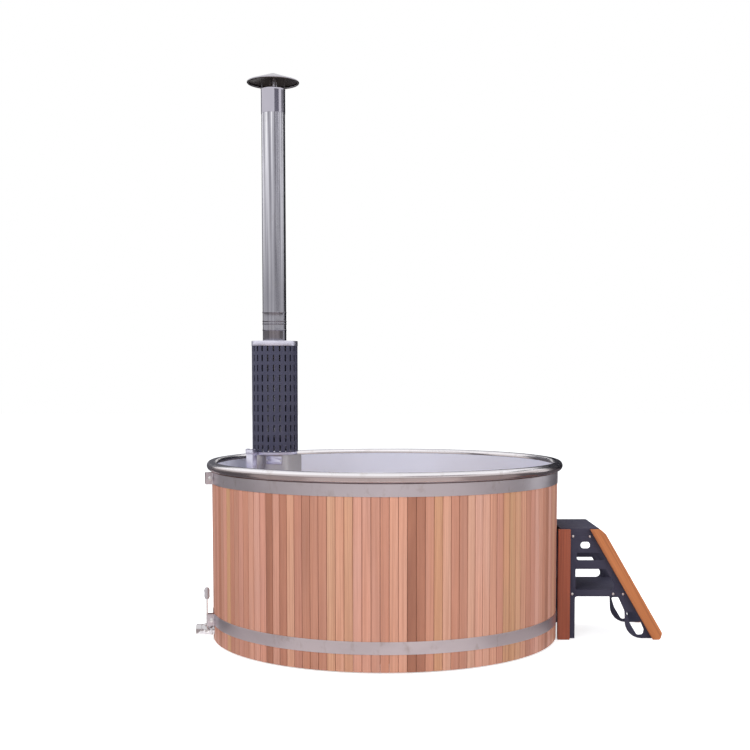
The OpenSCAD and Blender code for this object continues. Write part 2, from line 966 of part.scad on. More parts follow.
// Perforated guard: rows of upright slots through the sheet; a fifth of a step turns its columns
module heat_guard() {
    color("darkslategray")
        at_flue(guard_z0)
            difference() {
                tube(guard_ro, guard_ro - guard_t, guard_h);
                for (row = [0:guard_rows - 1], col = [0:guard_cols - 1])
                    rotate([0, 0, (col + 0.2) * 360 / guard_cols])
                        translate([guard_ro - 8, -slot_w / 2, slot_z0 + row * row_pitch])
                            cube([16, slot_w, slot_h]);
            }
}

module guard_top() {
    color("lavender")
        at_flue(guard_z1 - 28) {
            tube(guard_ro + 1.5, guard_ro + touch, 28);
            translate([0, 0, 28])
                tube(guard_ro + 1.5, flue_ro + touch, 2);
            for (a = [0:120:240])
                rotate([0, 0, a])
                    translate([flue_ro + touch, -6, 8])
                        cube([2, 12, 20.5]);
        }
}

// A shallow bead rolled into a pipe, centred at height z
module pipe_bead(z) {
    translate([0, 0, z])
        rotate_extrude($fn = pipe_fn)
            translate([flue_ro - 0.5, 0])
                intersection() {
                    circle(3, $fn = small_fn);
                    translate([-0.5, -3])
                        square([4, 6]);
                }
}

module flue_lower() {
    color(steel)
        at_flue() {
            translate([0, 0, neck_top])
                tube(flue_ro - touch / 2, flue_ri, seam_z - neck_top);
            translate([0, 0, seam_z - 8])
                tube(flue_ri + 0.5, flue_ri - flue_t, 8);
            translate([0, 0, seam_z - 8])
                tube(flue_ri - 0.2, flue_ri - flue_t, 8 + sleeve);
        }
}

module flue_upper() {
    color(steel)
        at_flue() {
            translate([0, 0, seam_z])
                tube(flue_ro, flue_ri, cowl_z - seam_z);
            pipe_bead(seam_z + 8);
            pipe_bead(seam_z + 23);
            pipe_bead(seam_z + 76);
        }
}

module flue_cowl() {
    color(steel)
        at_flue(cowl_z) {
            tube(flue_ro + 1, flue_ri, flue_top - cowl_z);
            translate([0, 0, -sleeve])
                tube(flue_ri - 0.2, flue_ri - flue_t, sleeve + 6);
            tube(flue_ri + 0.5, flue_ri - flue_t, 6);
        }
}

strap_n = 4;
strap_w = 24;
strap_foot = 60;
strap_x = flue_ri - 3.6;
cap_slope = (cap_h - 14.5) / (cap_d / 2 - 26);   // rise of the cap's inner face for each unit of radius

// Height of the cap's inner face above its rim, at radius r
function cap_inner(r) = 8 + (cap_d / 2 - 8 - r) * cap_slope;

module cap_straps() {
    h = strap_foot + cap_z - flue_top + cap_inner(norm([strap_x + 2, strap_w / 2])) - 0.1;
    color(steel)
        at_flue(flue_top)
            for (i = [0:strap_n - 1])
                rotate([0, 0, 45 + 360 / strap_n * i]) {
                    translate([strap_x, -strap_w / 2, -strap_foot])
                        cube([2, strap_w, h]);
                    for (z = [12, 40])
                        translate([strap_x - 1.5, 0, z - strap_foot])
                            rotate([0, 90, 0])
                                cylinder(d = 8, h = 4.9, $fn = small_fn);
                }
}

// Cone of sheet metal with a rolled lip and a small button at its tip
module rain_cap() {
    r = cap_d / 2;
    rise = cap_h - 8;
    color(steel)
        at_flue(cap_z)
            rotate_extrude($fn = pipe_fn) {
                difference() {
                    polygon([[0, 8], [r - 4, 8], [r, 8], [r, 10], [18, rise + 4], [0, rise + 6]]);
                    polygon([[-1, 0], [r - 4, 0], [r - 8, 8], [18, rise + 1.5], [-1, rise + 3.5]]);
                }
                difference() {
                    translate([r - 5, 5])
                        circle(5, $fn = small_fn);
                    translate([r - 5, 5])
                        circle(3, $fn = small_fn);
                }
            }
}

// ---------- steps ----------

module at_steps() {
    translate([0, step_y, 0])
        children();
}

// Edge of the slanting board that faces the tub, at height z
function board_x(z) = step_x0 + 165 + (step_h - 1 - z) * lean;

// Point at height z that lies w beyond that edge
function beyond(w, z) = [board_x(z) + w, z];

// Height at share t of the way from the lower tread to the band under the upper one
function win_z(t) = mix2(step_low, step_h - 74, t);

module plate_outline() {
    x0 = step_x0;
    leg = x0 + 87;                         // free edge of the leg beside the tub
    foot = board_x(0) - 155;               // free edge of the slanting leg
    difference() {
        polygon(rounded([[x0 + 8, 3], [leg, 3], [leg, step_low - 38], [foot - 44, step_low - 38],
                         [foot - 6, 162], [foot, 3], beyond(30, 3), beyond(66, 45),
                         beyond(74, step_h - 29), beyond(59, board_top), [x0 + 8, board_top]],
                        [0, 0, 12, 24, 40, 98, 10, 16, 6, 5, 0]));
        // small window under the upper tread
        polygon(rounded([[x0 + 116, win_z(0.857)], [x0 + 116, win_z(0.989)],
                         [x0 + 170, win_z(0.989)], [x0 + 170, win_z(0.857)]],
                        [17, 17, 17, 17]));
        // long low window
        polygon(rounded([[leg + 8, win_z(0.615)], [leg + 8, win_z(0.765)],
                         beyond(-6, win_z(0.765)), beyond(-6, win_z(0.615))],
                        [14, 6, 4, 4]));
        // window above the lower tread
        polygon(rounded([[leg + 2, win_z(0)], [leg + 2, win_z(0.431)],
                         beyond(-38, win_z(0.431)), beyond(-38, win_z(0))],
                        [8, 4, 8, 26]));
        // slot in the foot
        polygon(rounded([for (p = [[4, 157], [58, 157], [85, 105], [106, 54],
                                   [100, 27], [67, 23], [24, 95]])
                             [foot + p[0], p[1]]],
                        [8, 8, 30, 16, 14, 18, 30]));
        // bolt holes
        for (x = bolt_xs_low)
            translate([x0 + x, bolt_low_z])
                circle(d = 8, $fn = small_fn);
        for (x = bolt_xs_up)
            translate([x0 + x, bolt_up_z])
                circle(d = 8, $fn = small_fn);
    }
}

module stair_plate_near() {
    color(dark)
        at_steps()
            upright(-plate_out, plate_t)
                plate_outline();
}

module stair_plate_far() {
    color(dark)
        at_steps()
            upright(plate_in, plate_t)
                plate_outline();
}

module both_sides() {
    at_steps() {
        upright(-plate_out - board_t, board_t)
            children();
        upright(plate_out, board_t)
            children();
    }
}

module stair_posts() {
    color("sienna")
        both_sides()
            translate([post_x0, 0])
                square([post_x1 - post_x0, board_top]);
}

module stair_stringers() {
    color("chocolate")
        both_sides()
            polygon(rounded([beyond(0, board_top), beyond(0, 0), beyond(42, 0),
                             beyond(75, 38), beyond(75, step_h - 29), beyond(60, board_top)],
                            [2, 4, 18, 22, 6, 3]));
}

// A tread folded from one sheet: top, front and back skirts, and two side flanges
module tread(x0, l, top, drop, skirt) {
    w = 2 * (plate_in - 0.1);
    translate([x0, -w / 2, top - plate_t])
        cube([l, w, plate_t]);
    for (x = [x0, x0 + l - plate_t])
        translate([x, -w / 2, top - skirt])
            cube([plate_t, w, skirt]);
    for (s = [-1, 1])
        translate([x0, s * (w / 2 - plate_t / 2) - plate_t / 2, top - drop])
            cube([l, plate_t, drop]);
}

module tread_holes(xs, z) {
    for (x = xs)
        translate([step_x0 + x, 0, z])
            rotate([90, 0, 0])
                cylinder(d = 8, h = 2 * step_w, center = true, $fn = small_fn);
}

module upper_tread() {
    color(dark)
        at_steps()
            difference() {
                union() {
                    tread(step_x0 + 10, 212, step_h, 66, 40);
                    translate([step_x0 + 1, -plate_out, step_h - plate_t])
                        cube([221, step_w, plate_t]);
                }
                tread_holes(bolt_xs_up, bolt_up_z);
            }
}

module lower_tread() {
    color(dark)
        at_steps()
            difference() {
                tread(step_x0 + 60, 345, step_low, 34, 34);
                tread_holes(bolt_xs_low, bolt_low_z);
            }
}

// Places of the bolts, with z pointing outwards from the plate's face
module at_step_bolts() {
    at_steps()
        for (s = [0, 1])
            mirror([0, s, 0]) {
                for (x = bolt_xs_low)
                    translate([step_x0 + x, -plate_out, bolt_low_z])
                        rotate([90, 0, 0])
                            children();
                for (x = bolt_xs_up)
                    translate([step_x0 + x, -plate_out, bolt_up_z])
                        rotate([90, 0, 0])
                            children();
            }
}

module stair_bolts() {
    color(steel)
        at_step_bolts() {
            difference() {
                translate([0, 0, -6])
                    sphere(r = 10, $fn = small_fn);
                translate([0, 0, -20])
                    cylinder(r = 12, h = 20, $fn = small_fn);
            }
            translate([0, 0, -18])
                cylinder(d = 7.8, h = 19, $fn = small_fn);
        }
}

module stair_nuts() {
    color(steel)
        at_step_bolts()
            translate([0, 0, -2 * plate_t - 6.6])
                difference() {
                    cylinder(r = 7.5, h = 6.5, $fn = 6);
                    translate([0, 0, -1])
                        cylinder(d = 7.8, h = 9, $fn = small_fn);
                }
}

skids();
floor_deck();
liner();
rim();
staves();
drain_staves();
upper_hoop();
lower_hoop();
hoop_bolts();
hoop_nuts();
bench_supports();
bench_slats();
drain_strainer();
drain_elbow();
drain_pipe();
valve_body();
outlet_tail();
valve_ball();
valve_stem();
valve_lever();
lever_grip();
firebox();
firebox_legs();
grate();
soot_hatch();
hatch_screws();
fuel_lid();
lid_handle();
lid_hinge();
lid_pin();
air_pipe();
air_flap();
flap_bracket();
fence_rails();
fence_slats();
flue_collar();
guard_base();
heat_guard();
guard_top();
flue_lower();
flue_upper();
flue_cowl();
cap_straps();
rain_cap();
stair_plate_near();
stair_plate_far();
stair_posts();
stair_stringers();
upper_tread();
lower_tread();
stair_bolts();
stair_nuts();
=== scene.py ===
import json
import math

import bmesh
import bpy
import numpy as np
from mathutils import Matrix, Vector


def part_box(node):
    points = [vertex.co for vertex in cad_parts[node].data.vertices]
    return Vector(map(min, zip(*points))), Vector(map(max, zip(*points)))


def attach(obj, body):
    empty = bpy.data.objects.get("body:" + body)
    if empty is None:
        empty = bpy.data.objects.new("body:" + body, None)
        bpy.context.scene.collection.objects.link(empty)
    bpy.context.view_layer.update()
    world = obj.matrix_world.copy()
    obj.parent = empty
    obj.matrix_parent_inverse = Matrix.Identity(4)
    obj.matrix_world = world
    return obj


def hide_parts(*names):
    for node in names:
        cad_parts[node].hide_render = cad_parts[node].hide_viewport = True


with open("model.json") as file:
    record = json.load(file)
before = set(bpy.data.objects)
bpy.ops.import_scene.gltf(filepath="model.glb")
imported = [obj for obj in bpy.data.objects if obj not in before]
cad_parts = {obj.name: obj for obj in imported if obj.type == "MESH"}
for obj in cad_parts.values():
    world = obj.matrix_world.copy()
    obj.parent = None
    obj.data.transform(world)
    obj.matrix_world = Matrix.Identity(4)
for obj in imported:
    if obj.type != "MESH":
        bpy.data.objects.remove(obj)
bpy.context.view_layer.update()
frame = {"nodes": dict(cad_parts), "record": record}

nodes = frame["nodes"]
record = frame["record"]
bodyOf = {node: body for body, group in record["behaviour"]["bodies"].items() for node in group}
scene = bpy.context.scene
print("frame loaded:", len(nodes), "nodes")


# short ways to add, feed and join the nodes of a tree

def addNode(tree, kind, inputs=None, **settings):
    made = tree.nodes.new(kind)
    for name, value in settings.items():
        setattr(made, name, value)
    for name, value in (inputs or {}).items():
        feed(tree, made.inputs[name], value)
    return made


def feed(tree, socket, value):
    if isinstance(value, bpy.types.NodeSocket):
        tree.links.new(value, socket)
    else:
        socket.default_value = value


def calc(tree, operation, *values):
    made = addNode(tree, "ShaderNodeMath", operation=operation)
    for socket, value in zip(made.inputs, values):
        feed(tree, socket, value)
    return made.outputs[0]


def spread(tree, value, fromLow, fromHigh, toLow=0.0, toHigh=1.0):
    made = addNode(tree, "ShaderNodeMapRange",
                   {"Value": value, "From Min": fromLow, "From Max": fromHigh,
                    "To Min": toLow, "To Max": toHigh})
    return made.outputs[0]


def mixColours(tree, amount, first, second, mode="MIX"):
    # sockets 0, 6 and 7 of the node are the amount and the two colours
    a, b = [(*c, 1.0) if isinstance(c, tuple) and len(c) == 3 else c for c in (first, second)]
    made = addNode(tree, "ShaderNodeMix", {0: amount, 6: a, 7: b}, data_type="RGBA", blend_type=mode)
    return made.outputs[2]


def colourRamp(tree, amount, stops):
    made = addNode(tree, "ShaderNodeValToRGB", {"Fac": amount})
    parts = made.color_ramp.elements
    parts[0].position, parts[0].color = stops[0][0], (*stops[0][1], 1.0)
    parts[1].position, parts[1].color = stops[-1][0], (*stops[-1][1], 1.0)
    for place, colour in stops[1:-1]:
        parts.new(place).color = (*colour, 1.0)
    return made.outputs["Color"]


def noiseOn(tree, where, stretch, detail=4.0, rough=0.55, warp=0.0):
    mapped = addNode(tree, "ShaderNodeMapping", {"Vector": where, "Scale": stretch}).outputs[0]
    made = addNode(tree, "ShaderNodeTexNoise",
                   {"Vector": mapped, "Scale": 1.0, "Detail": detail, "Roughness": rough, "Distortion": warp})
    return made.outputs[0]


def bumpFrom(tree, height, depth, under=None):
    inputs = {"Height": height, "Strength": 1.0, "Distance": depth}
    if under is not None:
        inputs["Normal"] = under
    return addNode(tree, "ShaderNodeBump", inputs).outputs[0]


def linked(name, data):
    made = bpy.data.objects.new(name, data)
    scene.collection.objects.link(made)
    return made


def startFinish(name):
    finish = bpy.data.materials.new(name)
    finish.use_nodes = True
    return finish, finish.node_tree, finish.node_tree.nodes["Principled BSDF"]


def objectPlace(tree):
    return addNode(tree, "ShaderNodeTexCoord").outputs["Object"]


def attribute(tree, name, output):
    return addNode(tree, "ShaderNodeAttribute", attribute_name=name).outputs[output]


def heightOf(tree, vector):
    return addNode(tree, "ShaderNodeSeparateXYZ", {"Vector": vector}).outputs["Z"]


woodGrain = {"slow": (1.3, 9.0, 9.0), "bands": (1.1, 95.0, 60.0), "fibre": (9.0, 900.0, 700.0),
             "jump": (37.0, 11.3, 5.7),  # moves each board to its own place in the grain
             "bandDepth": 0.0006, "fibreDepth": 0.00025, "coatRough": 0.3}


def woodFinish(name, look):
    finish, tree, shader = startFinish(name)
    tone = attribute(tree, "boardTone", "Fac")
    path = attribute(tree, "grainPath", "Vector")
    edge = attribute(tree, "edgeNear", "Fac")
    jump = addNode(tree, "ShaderNodeCombineXYZ",
                   {axis: calc(tree, "MULTIPLY", tone, far) for axis, far in zip("XYZ", woodGrain["jump"])})
    where = addNode(tree, "ShaderNodeVectorMath", {0: path, 1: jump.outputs[0]}, operation="ADD").outputs[0]
    slow = noiseOn(tree, where, woodGrain["slow"], 3.0, 0.5, 0.4)
    bands = noiseOn(tree, where, woodGrain["bands"], 4.0, 0.6, 0.6)
    fibre = noiseOn(tree, where, woodGrain["fibre"], 3.0, 0.6)
    colour = colourRamp(tree, tone, look["tones"])
    colour = mixColours(tree, spread(tree, slow, 0.35, 0.72, 0.0, look["glowAmount"]), colour, look["glow"])
    colour = mixColours(tree, spread(tree, bands, 0.42, 0.68, 0.0, look["bandAmount"]), colour, look["band"])
    colour = mixColours(tree, spread(tree, fibre, 0.30, 0.75, 0.0, look["fibreAmount"]), colour, look["band"],
                        "MULTIPLY")
    # edges: paler wear on most boards; on the staves the edge colour is darker and is painted shade along the
    # joints
    colour = mixColours(tree, spread(tree, edge, 0.86, 1.0, 0.0, look["edgeWearAndJointShadeAmount"]), colour, look["edgeWearAndJointShade"])
    feed(tree, shader.inputs["Base Color"], colour)
    feed(tree, shader.inputs["Roughness"], spread(tree, bands, 0.3, 0.7, look["rough"][0], look["rough"][1]))
    shader.inputs["Specular IOR Level"].default_value = look.get("gloss", 0.35)
    shader.inputs["Coat Weight"].default_value = look.get("coat", 0.0)
    shader.inputs["Coat Roughness"].default_value = woodGrain["coatRough"]
    low = bumpFrom(tree, bands, woodGrain["bandDepth"])
    feed(tree, shader.inputs["Normal"], bumpFrom(tree, fibre, woodGrain["fibreDepth"], low))
    return finish


woodLooks = {
    "staveWood": {
        "tones": [(0.0, (0.28, 0.112, 0.070)), (0.14, (0.38, 0.168, 0.116)), (0.30, (0.59, 0.285, 0.217)),
                  (0.46, (0.47, 0.222, 0.152)), (0.60, (0.72, 0.400, 0.322)), (0.74, (0.52, 0.300, 0.155)),
                  (0.88, (0.66, 0.345, 0.255)), (1.0, (0.34, 0.148, 0.098))],
        "glow": (0.72, 0.31, 0.18), "glowAmount": 0.35, "band": (0.33, 0.13, 0.075), "bandAmount": 0.42,
        # painted shade: the staves' darker edge colour shades the joints between boards
        "fibreAmount": 0.20, "edgeWearAndJointShade": (0.30, 0.13, 0.08), "edgeWearAndJointShadeAmount": 0.25, "rough": (0.48, 0.66)},
    "benchWood": {
        "tones": [(0.0, (0.58, 0.36, 0.19)), (0.4, (0.68, 0.46, 0.27)), (0.7, (0.62, 0.40, 0.22)),
                  (1.0, (0.74, 0.53, 0.33))],
        "glow": (0.72, 0.44, 0.22), "glowAmount": 0.3, "band": (0.42, 0.24, 0.12), "bandAmount": 0.45,
        "fibreAmount": 0.2, "edgeWearAndJointShade": (0.78, 0.62, 0.42), "edgeWearAndJointShadeAmount": 0.3, "rough": (0.5, 0.7)},
    "frameWood": {
        "tones": [(0.0, (0.50, 0.32, 0.17)), (0.5, (0.60, 0.40, 0.23)), (1.0, (0.66, 0.46, 0.28))],
        "glow": (0.62, 0.38, 0.19), "glowAmount": 0.3, "band": (0.36, 0.20, 0.10), "bandAmount": 0.5,
        "fibreAmount": 0.25, "edgeWearAndJointShade": (0.72, 0.55, 0.36), "edgeWearAndJointShadeAmount": 0.25, "rough": (0.55, 0.75)},
    "beamWood": {
        "tones": [(0.0, (0.22, 0.16, 0.09)), (0.5, (0.29, 0.21, 0.12)), (1.0, (0.33, 0.25, 0.15))],
        "glow": (0.26, 0.22, 0.12), "glowAmount": 0.4, "band": (0.13, 0.09, 0.05), "bandAmount": 0.5,
        "fibreAmount": 0.3, "edgeWearAndJointShade": (0.40, 0.31, 0.20), "edgeWearAndJointShadeAmount": 0.3, "rough": (0.7, 0.9)},
    "postWood": {
        "tones": [(0.0, (0.30, 0.070, 0.035)), (0.5, (0.33, 0.078, 0.038)), (1.0, (0.36, 0.090, 0.044))],
        "glow": (0.46, 0.115, 0.050), "glowAmount": 0.5, "band": (0.18, 0.042, 0.024), "bandAmount": 0.5,
        "fibreAmount": 0.2, "edgeWearAndJointShade": (0.52, 0.20, 0.10), "edgeWearAndJointShadeAmount": 0.35, "rough": (0.36, 0.5),
        "coat": 0.1},
    "stringerWood": {
        "tones": [(0.0, (0.47, 0.150, 0.048)), (0.5, (0.53, 0.185, 0.058)), (1.0, (0.57, 0.215, 0.072))],
        "glow": (0.68, 0.26, 0.09), "glowAmount": 0.5, "band": (0.27, 0.075, 0.028), "bandAmount": 0.55,
        "fibreAmount": 0.2, "edgeWearAndJointShade": (0.66, 0.33, 0.15), "edgeWearAndJointShadeAmount": 0.5, "rough": (0.36, 0.55),
        "coat": 0.12},
    "handleWood": {
        "tones": [(0.0, (0.24, 0.11, 0.055)), (1.0, (0.30, 0.15, 0.075))],
        "glow": (0.36, 0.18, 0.09), "glowAmount": 0.3, "band": (0.13, 0.055, 0.03), "bandAmount": 0.4,
        "fibreAmount": 0.2, "edgeWearAndJointShade": (0.4, 0.22, 0.12), "edgeWearAndJointShadeAmount": 0.2, "rough": (0.35, 0.5), "coat": 0.2},
    "deckBoard": {
        "tones": [(0.0, (0.42, 0.30, 0.18)), (1.0, (0.48, 0.35, 0.22))],
        "glow": (0.5, 0.36, 0.22), "glowAmount": 0.3, "band": (0.28, 0.18, 0.10), "bandAmount": 0.5,
        "fibreAmount": 0.25, "edgeWearAndJointShade": (0.5, 0.4, 0.3), "edgeWearAndJointShadeAmount": 0.1, "rough": (0.6, 0.8)},
}

steelGrain = {"cloud": (2.2, 2.2, 1.1), "spots": (14.0, 14.0, 9.0), "dull": 0.8, "brushDepth": 0.00002,
              "paleReflectionLight": 1.45,  # painted highlights: how much paler the light reflection stripes are than the steel
              "brushShare": 0.65}  # the rest of the roughness comes from the spots


def steelFinish(name, look):
    finish, tree, shader = startFinish(name)
    where = objectPlace(tree)
    brush = noiseOn(tree, where, look["brush"], 4.0, 0.65)
    cloud = noiseOn(tree, where, look.get("cloud", steelGrain["cloud"]), 3.0, 0.5, 0.8)
    spots = noiseOn(tree, where, steelGrain["spots"], 5.0, 0.6)
    dull = tuple(c * look.get("dull", steelGrain["dull"]) for c in look["colour"])
    colour = mixColours(tree, spread(tree, cloud, 0.35, 0.65), dull, look["colour"])
    # painted reflections: dark and pale vertical stripes in the steel's colour stand in for the surroundings
    # mirrored in the pipe
    if "reflectionStripes" in look:
        reflectionStripes = noiseOn(tree, where, look["reflectionStripes"], 3.0, 0.6, 0.3)
        pale = tuple(min(1.0, c * steelGrain["paleReflectionLight"]) for c in look["colour"])
        for start, end, tint in ((0.44, 0.60, look["darkReflectionColour"]), (0.42, 0.30, pale)):
            amount = spread(tree, reflectionStripes, start, end, 0.0, look["reflectionStripeAmount"])
            colour = mixColours(tree, amount, colour, tint)
    if "fade" in look:  # darker towards the bottom: from height, to height, colour, amount
        start, end, tint, amount = look["fade"]
        colour = mixColours(tree, spread(tree, heightOf(tree, where), start, end, 0.0, amount), colour, tint)
    for start, end, tint in look.get("facing", ()):  # tints that come in with the tilt of the surface; on the rolled rim they paint its reflection
        tilt = heightOf(tree, addNode(tree, "ShaderNodeNewGeometry").outputs["Normal"])
        colour = mixColours(tree, spread(tree, tilt, start, end), colour, tint)
    if "stain" in look:
        colour = mixColours(tree, spread(tree, spots, 0.56, 0.74, 0.0, look["stainAmount"]), colour,
                            look["stain"])
    feed(tree, shader.inputs["Base Color"], colour)
    low, high = look["rough"]
    mixed = calc(tree, "ADD", calc(tree, "MULTIPLY", brush, steelGrain["brushShare"]),
                 calc(tree, "MULTIPLY", spots, 1.0 - steelGrain["brushShare"]))
    feed(tree, shader.inputs["Roughness"], spread(tree, mixed, 0.3, 0.7, low, high))
    shader.inputs["Metallic"].default_value = look.get("metal", 1.0)
    wave = bumpFrom(tree, cloud, look.get("wave", 0.0))
    depth = look.get("depth", steelGrain["brushDepth"])
    feed(tree, shader.inputs["Normal"], bumpFrom(tree, brush, depth, wave))
    return finish


steelLooks = {
    "hoopSteel": {
        "colour": (0.75, 0.70, 0.75), "dull": 0.86, "brush": (3.0, 3.0, 900.0), "rough": (0.32, 0.44),
        "cloud": (1.6, 1.6, 5.0), "wave": 0.0008, "stain": (0.34, 0.26, 0.22), "stainAmount": 0.4},
    "rimSteel": {
        "colour": (0.95, 0.92, 0.95), "dull": 0.92, "brush": (2.5, 2.5, 700.0), "rough": (0.16, 0.24),
        "cloud": (1.9, 1.9, 3.0), "wave": 0.0006, "stain": (0.42, 0.34, 0.30), "stainAmount": 0.3,
        # painted reflection: darker and browner where the rim faces sideways or down, greyer where it faces
        # straight up, leaving a thin bright band on top
        "facing": [(0.50, 0.30, (0.60, 0.54, 0.55)), (0.74, 0.92, (0.60, 0.58, 0.63))]},
    "linerSteel": {
        "metal": 0.5, "colour": (0.85, 0.87, 1.0), "dull": 0.96, "brush": (2.2, 2.2, 650.0),
        "rough": (0.42, 0.54), "cloud": (1.3, 1.3, 1.6), "wave": 0.0025},
    "flueSteel": {
        "colour": (0.78, 0.77, 0.845), "dull": 0.84, "brush": (240.0, 240.0, 2.2), "rough": (0.16, 0.25),
        # painted reflections: dark and pale vertical stripes in the pipe's colour
        "cloud": (7.0, 7.0, 1.6), "wave": 0.0009, "reflectionStripes": (61.0, 61.0, 0.6), "reflectionStripeAmount": 0.8,
        "darkReflectionColour": (0.17, 0.165, 0.195), "stain": (0.27, 0.25, 0.24), "stainAmount": 0.25,
        "fade": (2.75, 2.0, (0.22, 0.215, 0.245), 0.8)},
    "cowlSteel": {
        "colour": (0.50, 0.48, 0.55), "dull": 0.88, "brush": (240.0, 240.0, 2.2), "rough": (0.08, 0.15),
        "cloud": (7.0, 7.0, 1.6), "wave": 0.0005},
    "capSteel": {
        "colour": (0.56, 0.54, 0.60), "dull": 0.85, "brush": (60.0, 60.0, 500.0), "rough": (0.28, 0.40),
        "wave": 0.0006, "stain": (0.40, 0.36, 0.30), "stainAmount": 0.4,
        "facing": [(-0.15, -0.55, (0.165, 0.150, 0.135))]},
    "stoveSteel": {
        "colour": (0.57, 0.54, 0.565), "dull": 0.80, "brush": (300.0, 300.0, 3.0), "rough": (0.36, 0.50),
        "wave": 0.0008, "stain": (0.42, 0.33, 0.30), "stainAmount": 0.45},
    "ringSteel": {
        "colour": (0.80, 0.785, 0.92), "dull": 0.92, "brush": (40.0, 40.0, 500.0), "rough": (0.28, 0.40)},
    "boltSteel": {
        "colour": (0.88, 0.87, 0.88), "dull": 0.85, "brush": (700.0, 700.0, 700.0), "rough": (0.22, 0.36)},
    "valveSteel": {
        "colour": (0.66, 0.64, 0.66), "dull": 0.75, "brush": (500.0, 500.0, 500.0), "rough": (0.16, 0.30),
        "depth": 0.00008, "stain": (0.28, 0.24, 0.22), "stainAmount": 0.4},
    "ballSteel": {
        "colour": (0.75, 0.75, 0.76), "brush": (900.0, 900.0, 900.0), "rough": (0.06, 0.12)},
    "brassFinish": {
        "colour": (0.62, 0.44, 0.19), "brush": (600.0, 600.0, 600.0), "rough": (0.25, 0.4)},
}

paintGrain = {"grain": (900.0, 900.0, 900.0), "cloud": (5.0, 5.0, 5.0), "rub": (55.0, 55.0, 20.0),
              "depth": 0.00008}


def paintFinish(name, look):
    finish, tree, shader = startFinish(name)
    where = objectPlace(tree)
    grain = noiseOn(tree, where, paintGrain["grain"], 2.0)
    cloud = noiseOn(tree, where, paintGrain["cloud"], 4.0)
    rub = noiseOn(tree, where, paintGrain["rub"], 5.0, 0.7)
    colour = mixColours(tree, spread(tree, cloud, 0.3, 0.7), look["colour"], look["pale"])
    colour = mixColours(tree, spread(tree, rub, 0.62, 0.78, 0.0, look["dust"]), colour, look["dustColour"])
    feed(tree, shader.inputs["Base Color"], colour)
    feed(tree, shader.inputs["Roughness"], spread(tree, rub, 0.3, 0.7, look["rough"][0], look["rough"][1]))
    shader.inputs["Specular IOR Level"].default_value = look.get("gloss", 0.5)
    feed(tree, shader.inputs["Normal"], bumpFrom(tree, grain, look.get("depth", paintGrain["depth"])))
    return finish


paintLooks = {
    "guardPaint": {
        "colour": (0.045, 0.045, 0.080), "pale": (0.060, 0.059, 0.098), "dust": 0.3,
        "dustColour": (0.080, 0.076, 0.105), "rough": (0.44, 0.58), "gloss": 0.4},
    "platePaint": {
        "colour": (0.038, 0.036, 0.062), "pale": (0.052, 0.049, 0.078), "dust": 0.2,
        "dustColour": (0.070, 0.067, 0.09), "rough": (0.52, 0.66), "gloss": 0.22},
    "grateIron": {
        "colour": (0.028, 0.026, 0.025), "pale": (0.05, 0.045, 0.042), "dust": 0.6,
        "dustColour": (0.16, 0.15, 0.14), "rough": (0.6, 0.85), "depth": 0.0005},
    "gripPlastic": {
        "colour": (0.40, 0.38, 0.40), "pale": (0.50, 0.48, 0.50), "dust": 0.15,
        "dustColour": (0.12, 0.12, 0.12), "rough": (0.22, 0.36)},
    "pipePlastic": {
        "colour": (0.055, 0.055, 0.057), "pale": (0.08, 0.08, 0.08), "dust": 0.3,
        "dustColour": (0.16, 0.16, 0.16), "rough": (0.4, 0.6)},
}

finishes = {}
for makeFinish, looks in ((woodFinish, woodLooks), (steelFinish, steelLooks), (paintFinish, paintLooks)):
    finishes.update({name: makeFinish(name, look) for name, look in looks.items()})
print("finishes made:", len(finishes))


def makePiece(name, vertices, faces, finish, smoothAngle=35.0, tidy=True):
    mesh = bpy.data.meshes.new(name)
    mesh.from_pydata([tuple(v) for v in vertices], [], faces)
    if tidy:
        work = bmesh.new()
        work.from_mesh(mesh)
        bmesh.ops.remove_doubles(work, verts=work.verts, dist=1e-6)
        bmesh.ops.recalc_face_normals(work, faces=work.faces)
        work.to_mesh(mesh)
        work.free()
    piece = linked(name, mesh)
    dressPiece(piece, finish, smoothAngle)
    return piece


def dressPiece(piece, finish, smoothAngle=35.0):
    if finish is not None:
        piece.data.materials.clear()
        piece.data.materials.append(finishes[finish])
    piece.data.shade_smooth()
    piece.data.set_sharp_from_angle(angle=math.radians(smoothAngle))


def settled(piece, finish=None, smoothAngle=35.0):
    # turns the evaluated result into the piece's own plain mesh
    bpy.context.view_layer.update()
    graph = bpy.context.evaluated_depsgraph_get()
    mesh = bpy.data.meshes.new_from_object(piece.evaluated_get(graph), preserve_all_data_layers=True,
                                           depsgraph=graph)
    piece.modifiers.clear()
    old = piece.data
    piece.data = mesh
    bpy.data.meshes.remove(old)
    mesh.name = piece.name
    dressPiece(piece, finish, smoothAngle)
    return piece


def standFor(piece, *cadNodes):
    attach(piece, bodyOf[cadNodes[0]])
    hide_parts(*cadNodes)
    return piece


def roundedPath(points, closed=True, steps=5):
    # points are (a, b, radius): corners with a radius become arcs
    made = []
    count = len(points)
    for i, (a, b, radius) in enumerate(points):
        here = Vector((a, b))
        if radius == 0 or (not closed and i in (0, count - 1)):
            made.append(here)
            continue
        before = Vector(points[i - 1][:2])
        after = Vector(points[(i + 1) % count][:2])
        u, v = (before - here).normalized(), (after - here).normalized()
        half = math.acos(max(-1.0, min(1.0, u.dot(v)))) / 2
        middle = here + (u + v).normalized() * (radius / math.sin(half))
        start, end = here + u * (radius / math.tan(half)), here + v * (radius / math.tan(half))
        first = math.atan2(*(start - middle).yx)
        turn = (math.atan2(*(end - middle).yx) - first + math.pi) % (2 * math.pi) - math.pi
        sweep = [first + turn * k / steps for k in range(steps + 1)]
        made += [middle + radius * Vector((math.cos(angle), math.sin(angle))) for angle in sweep]
    return made


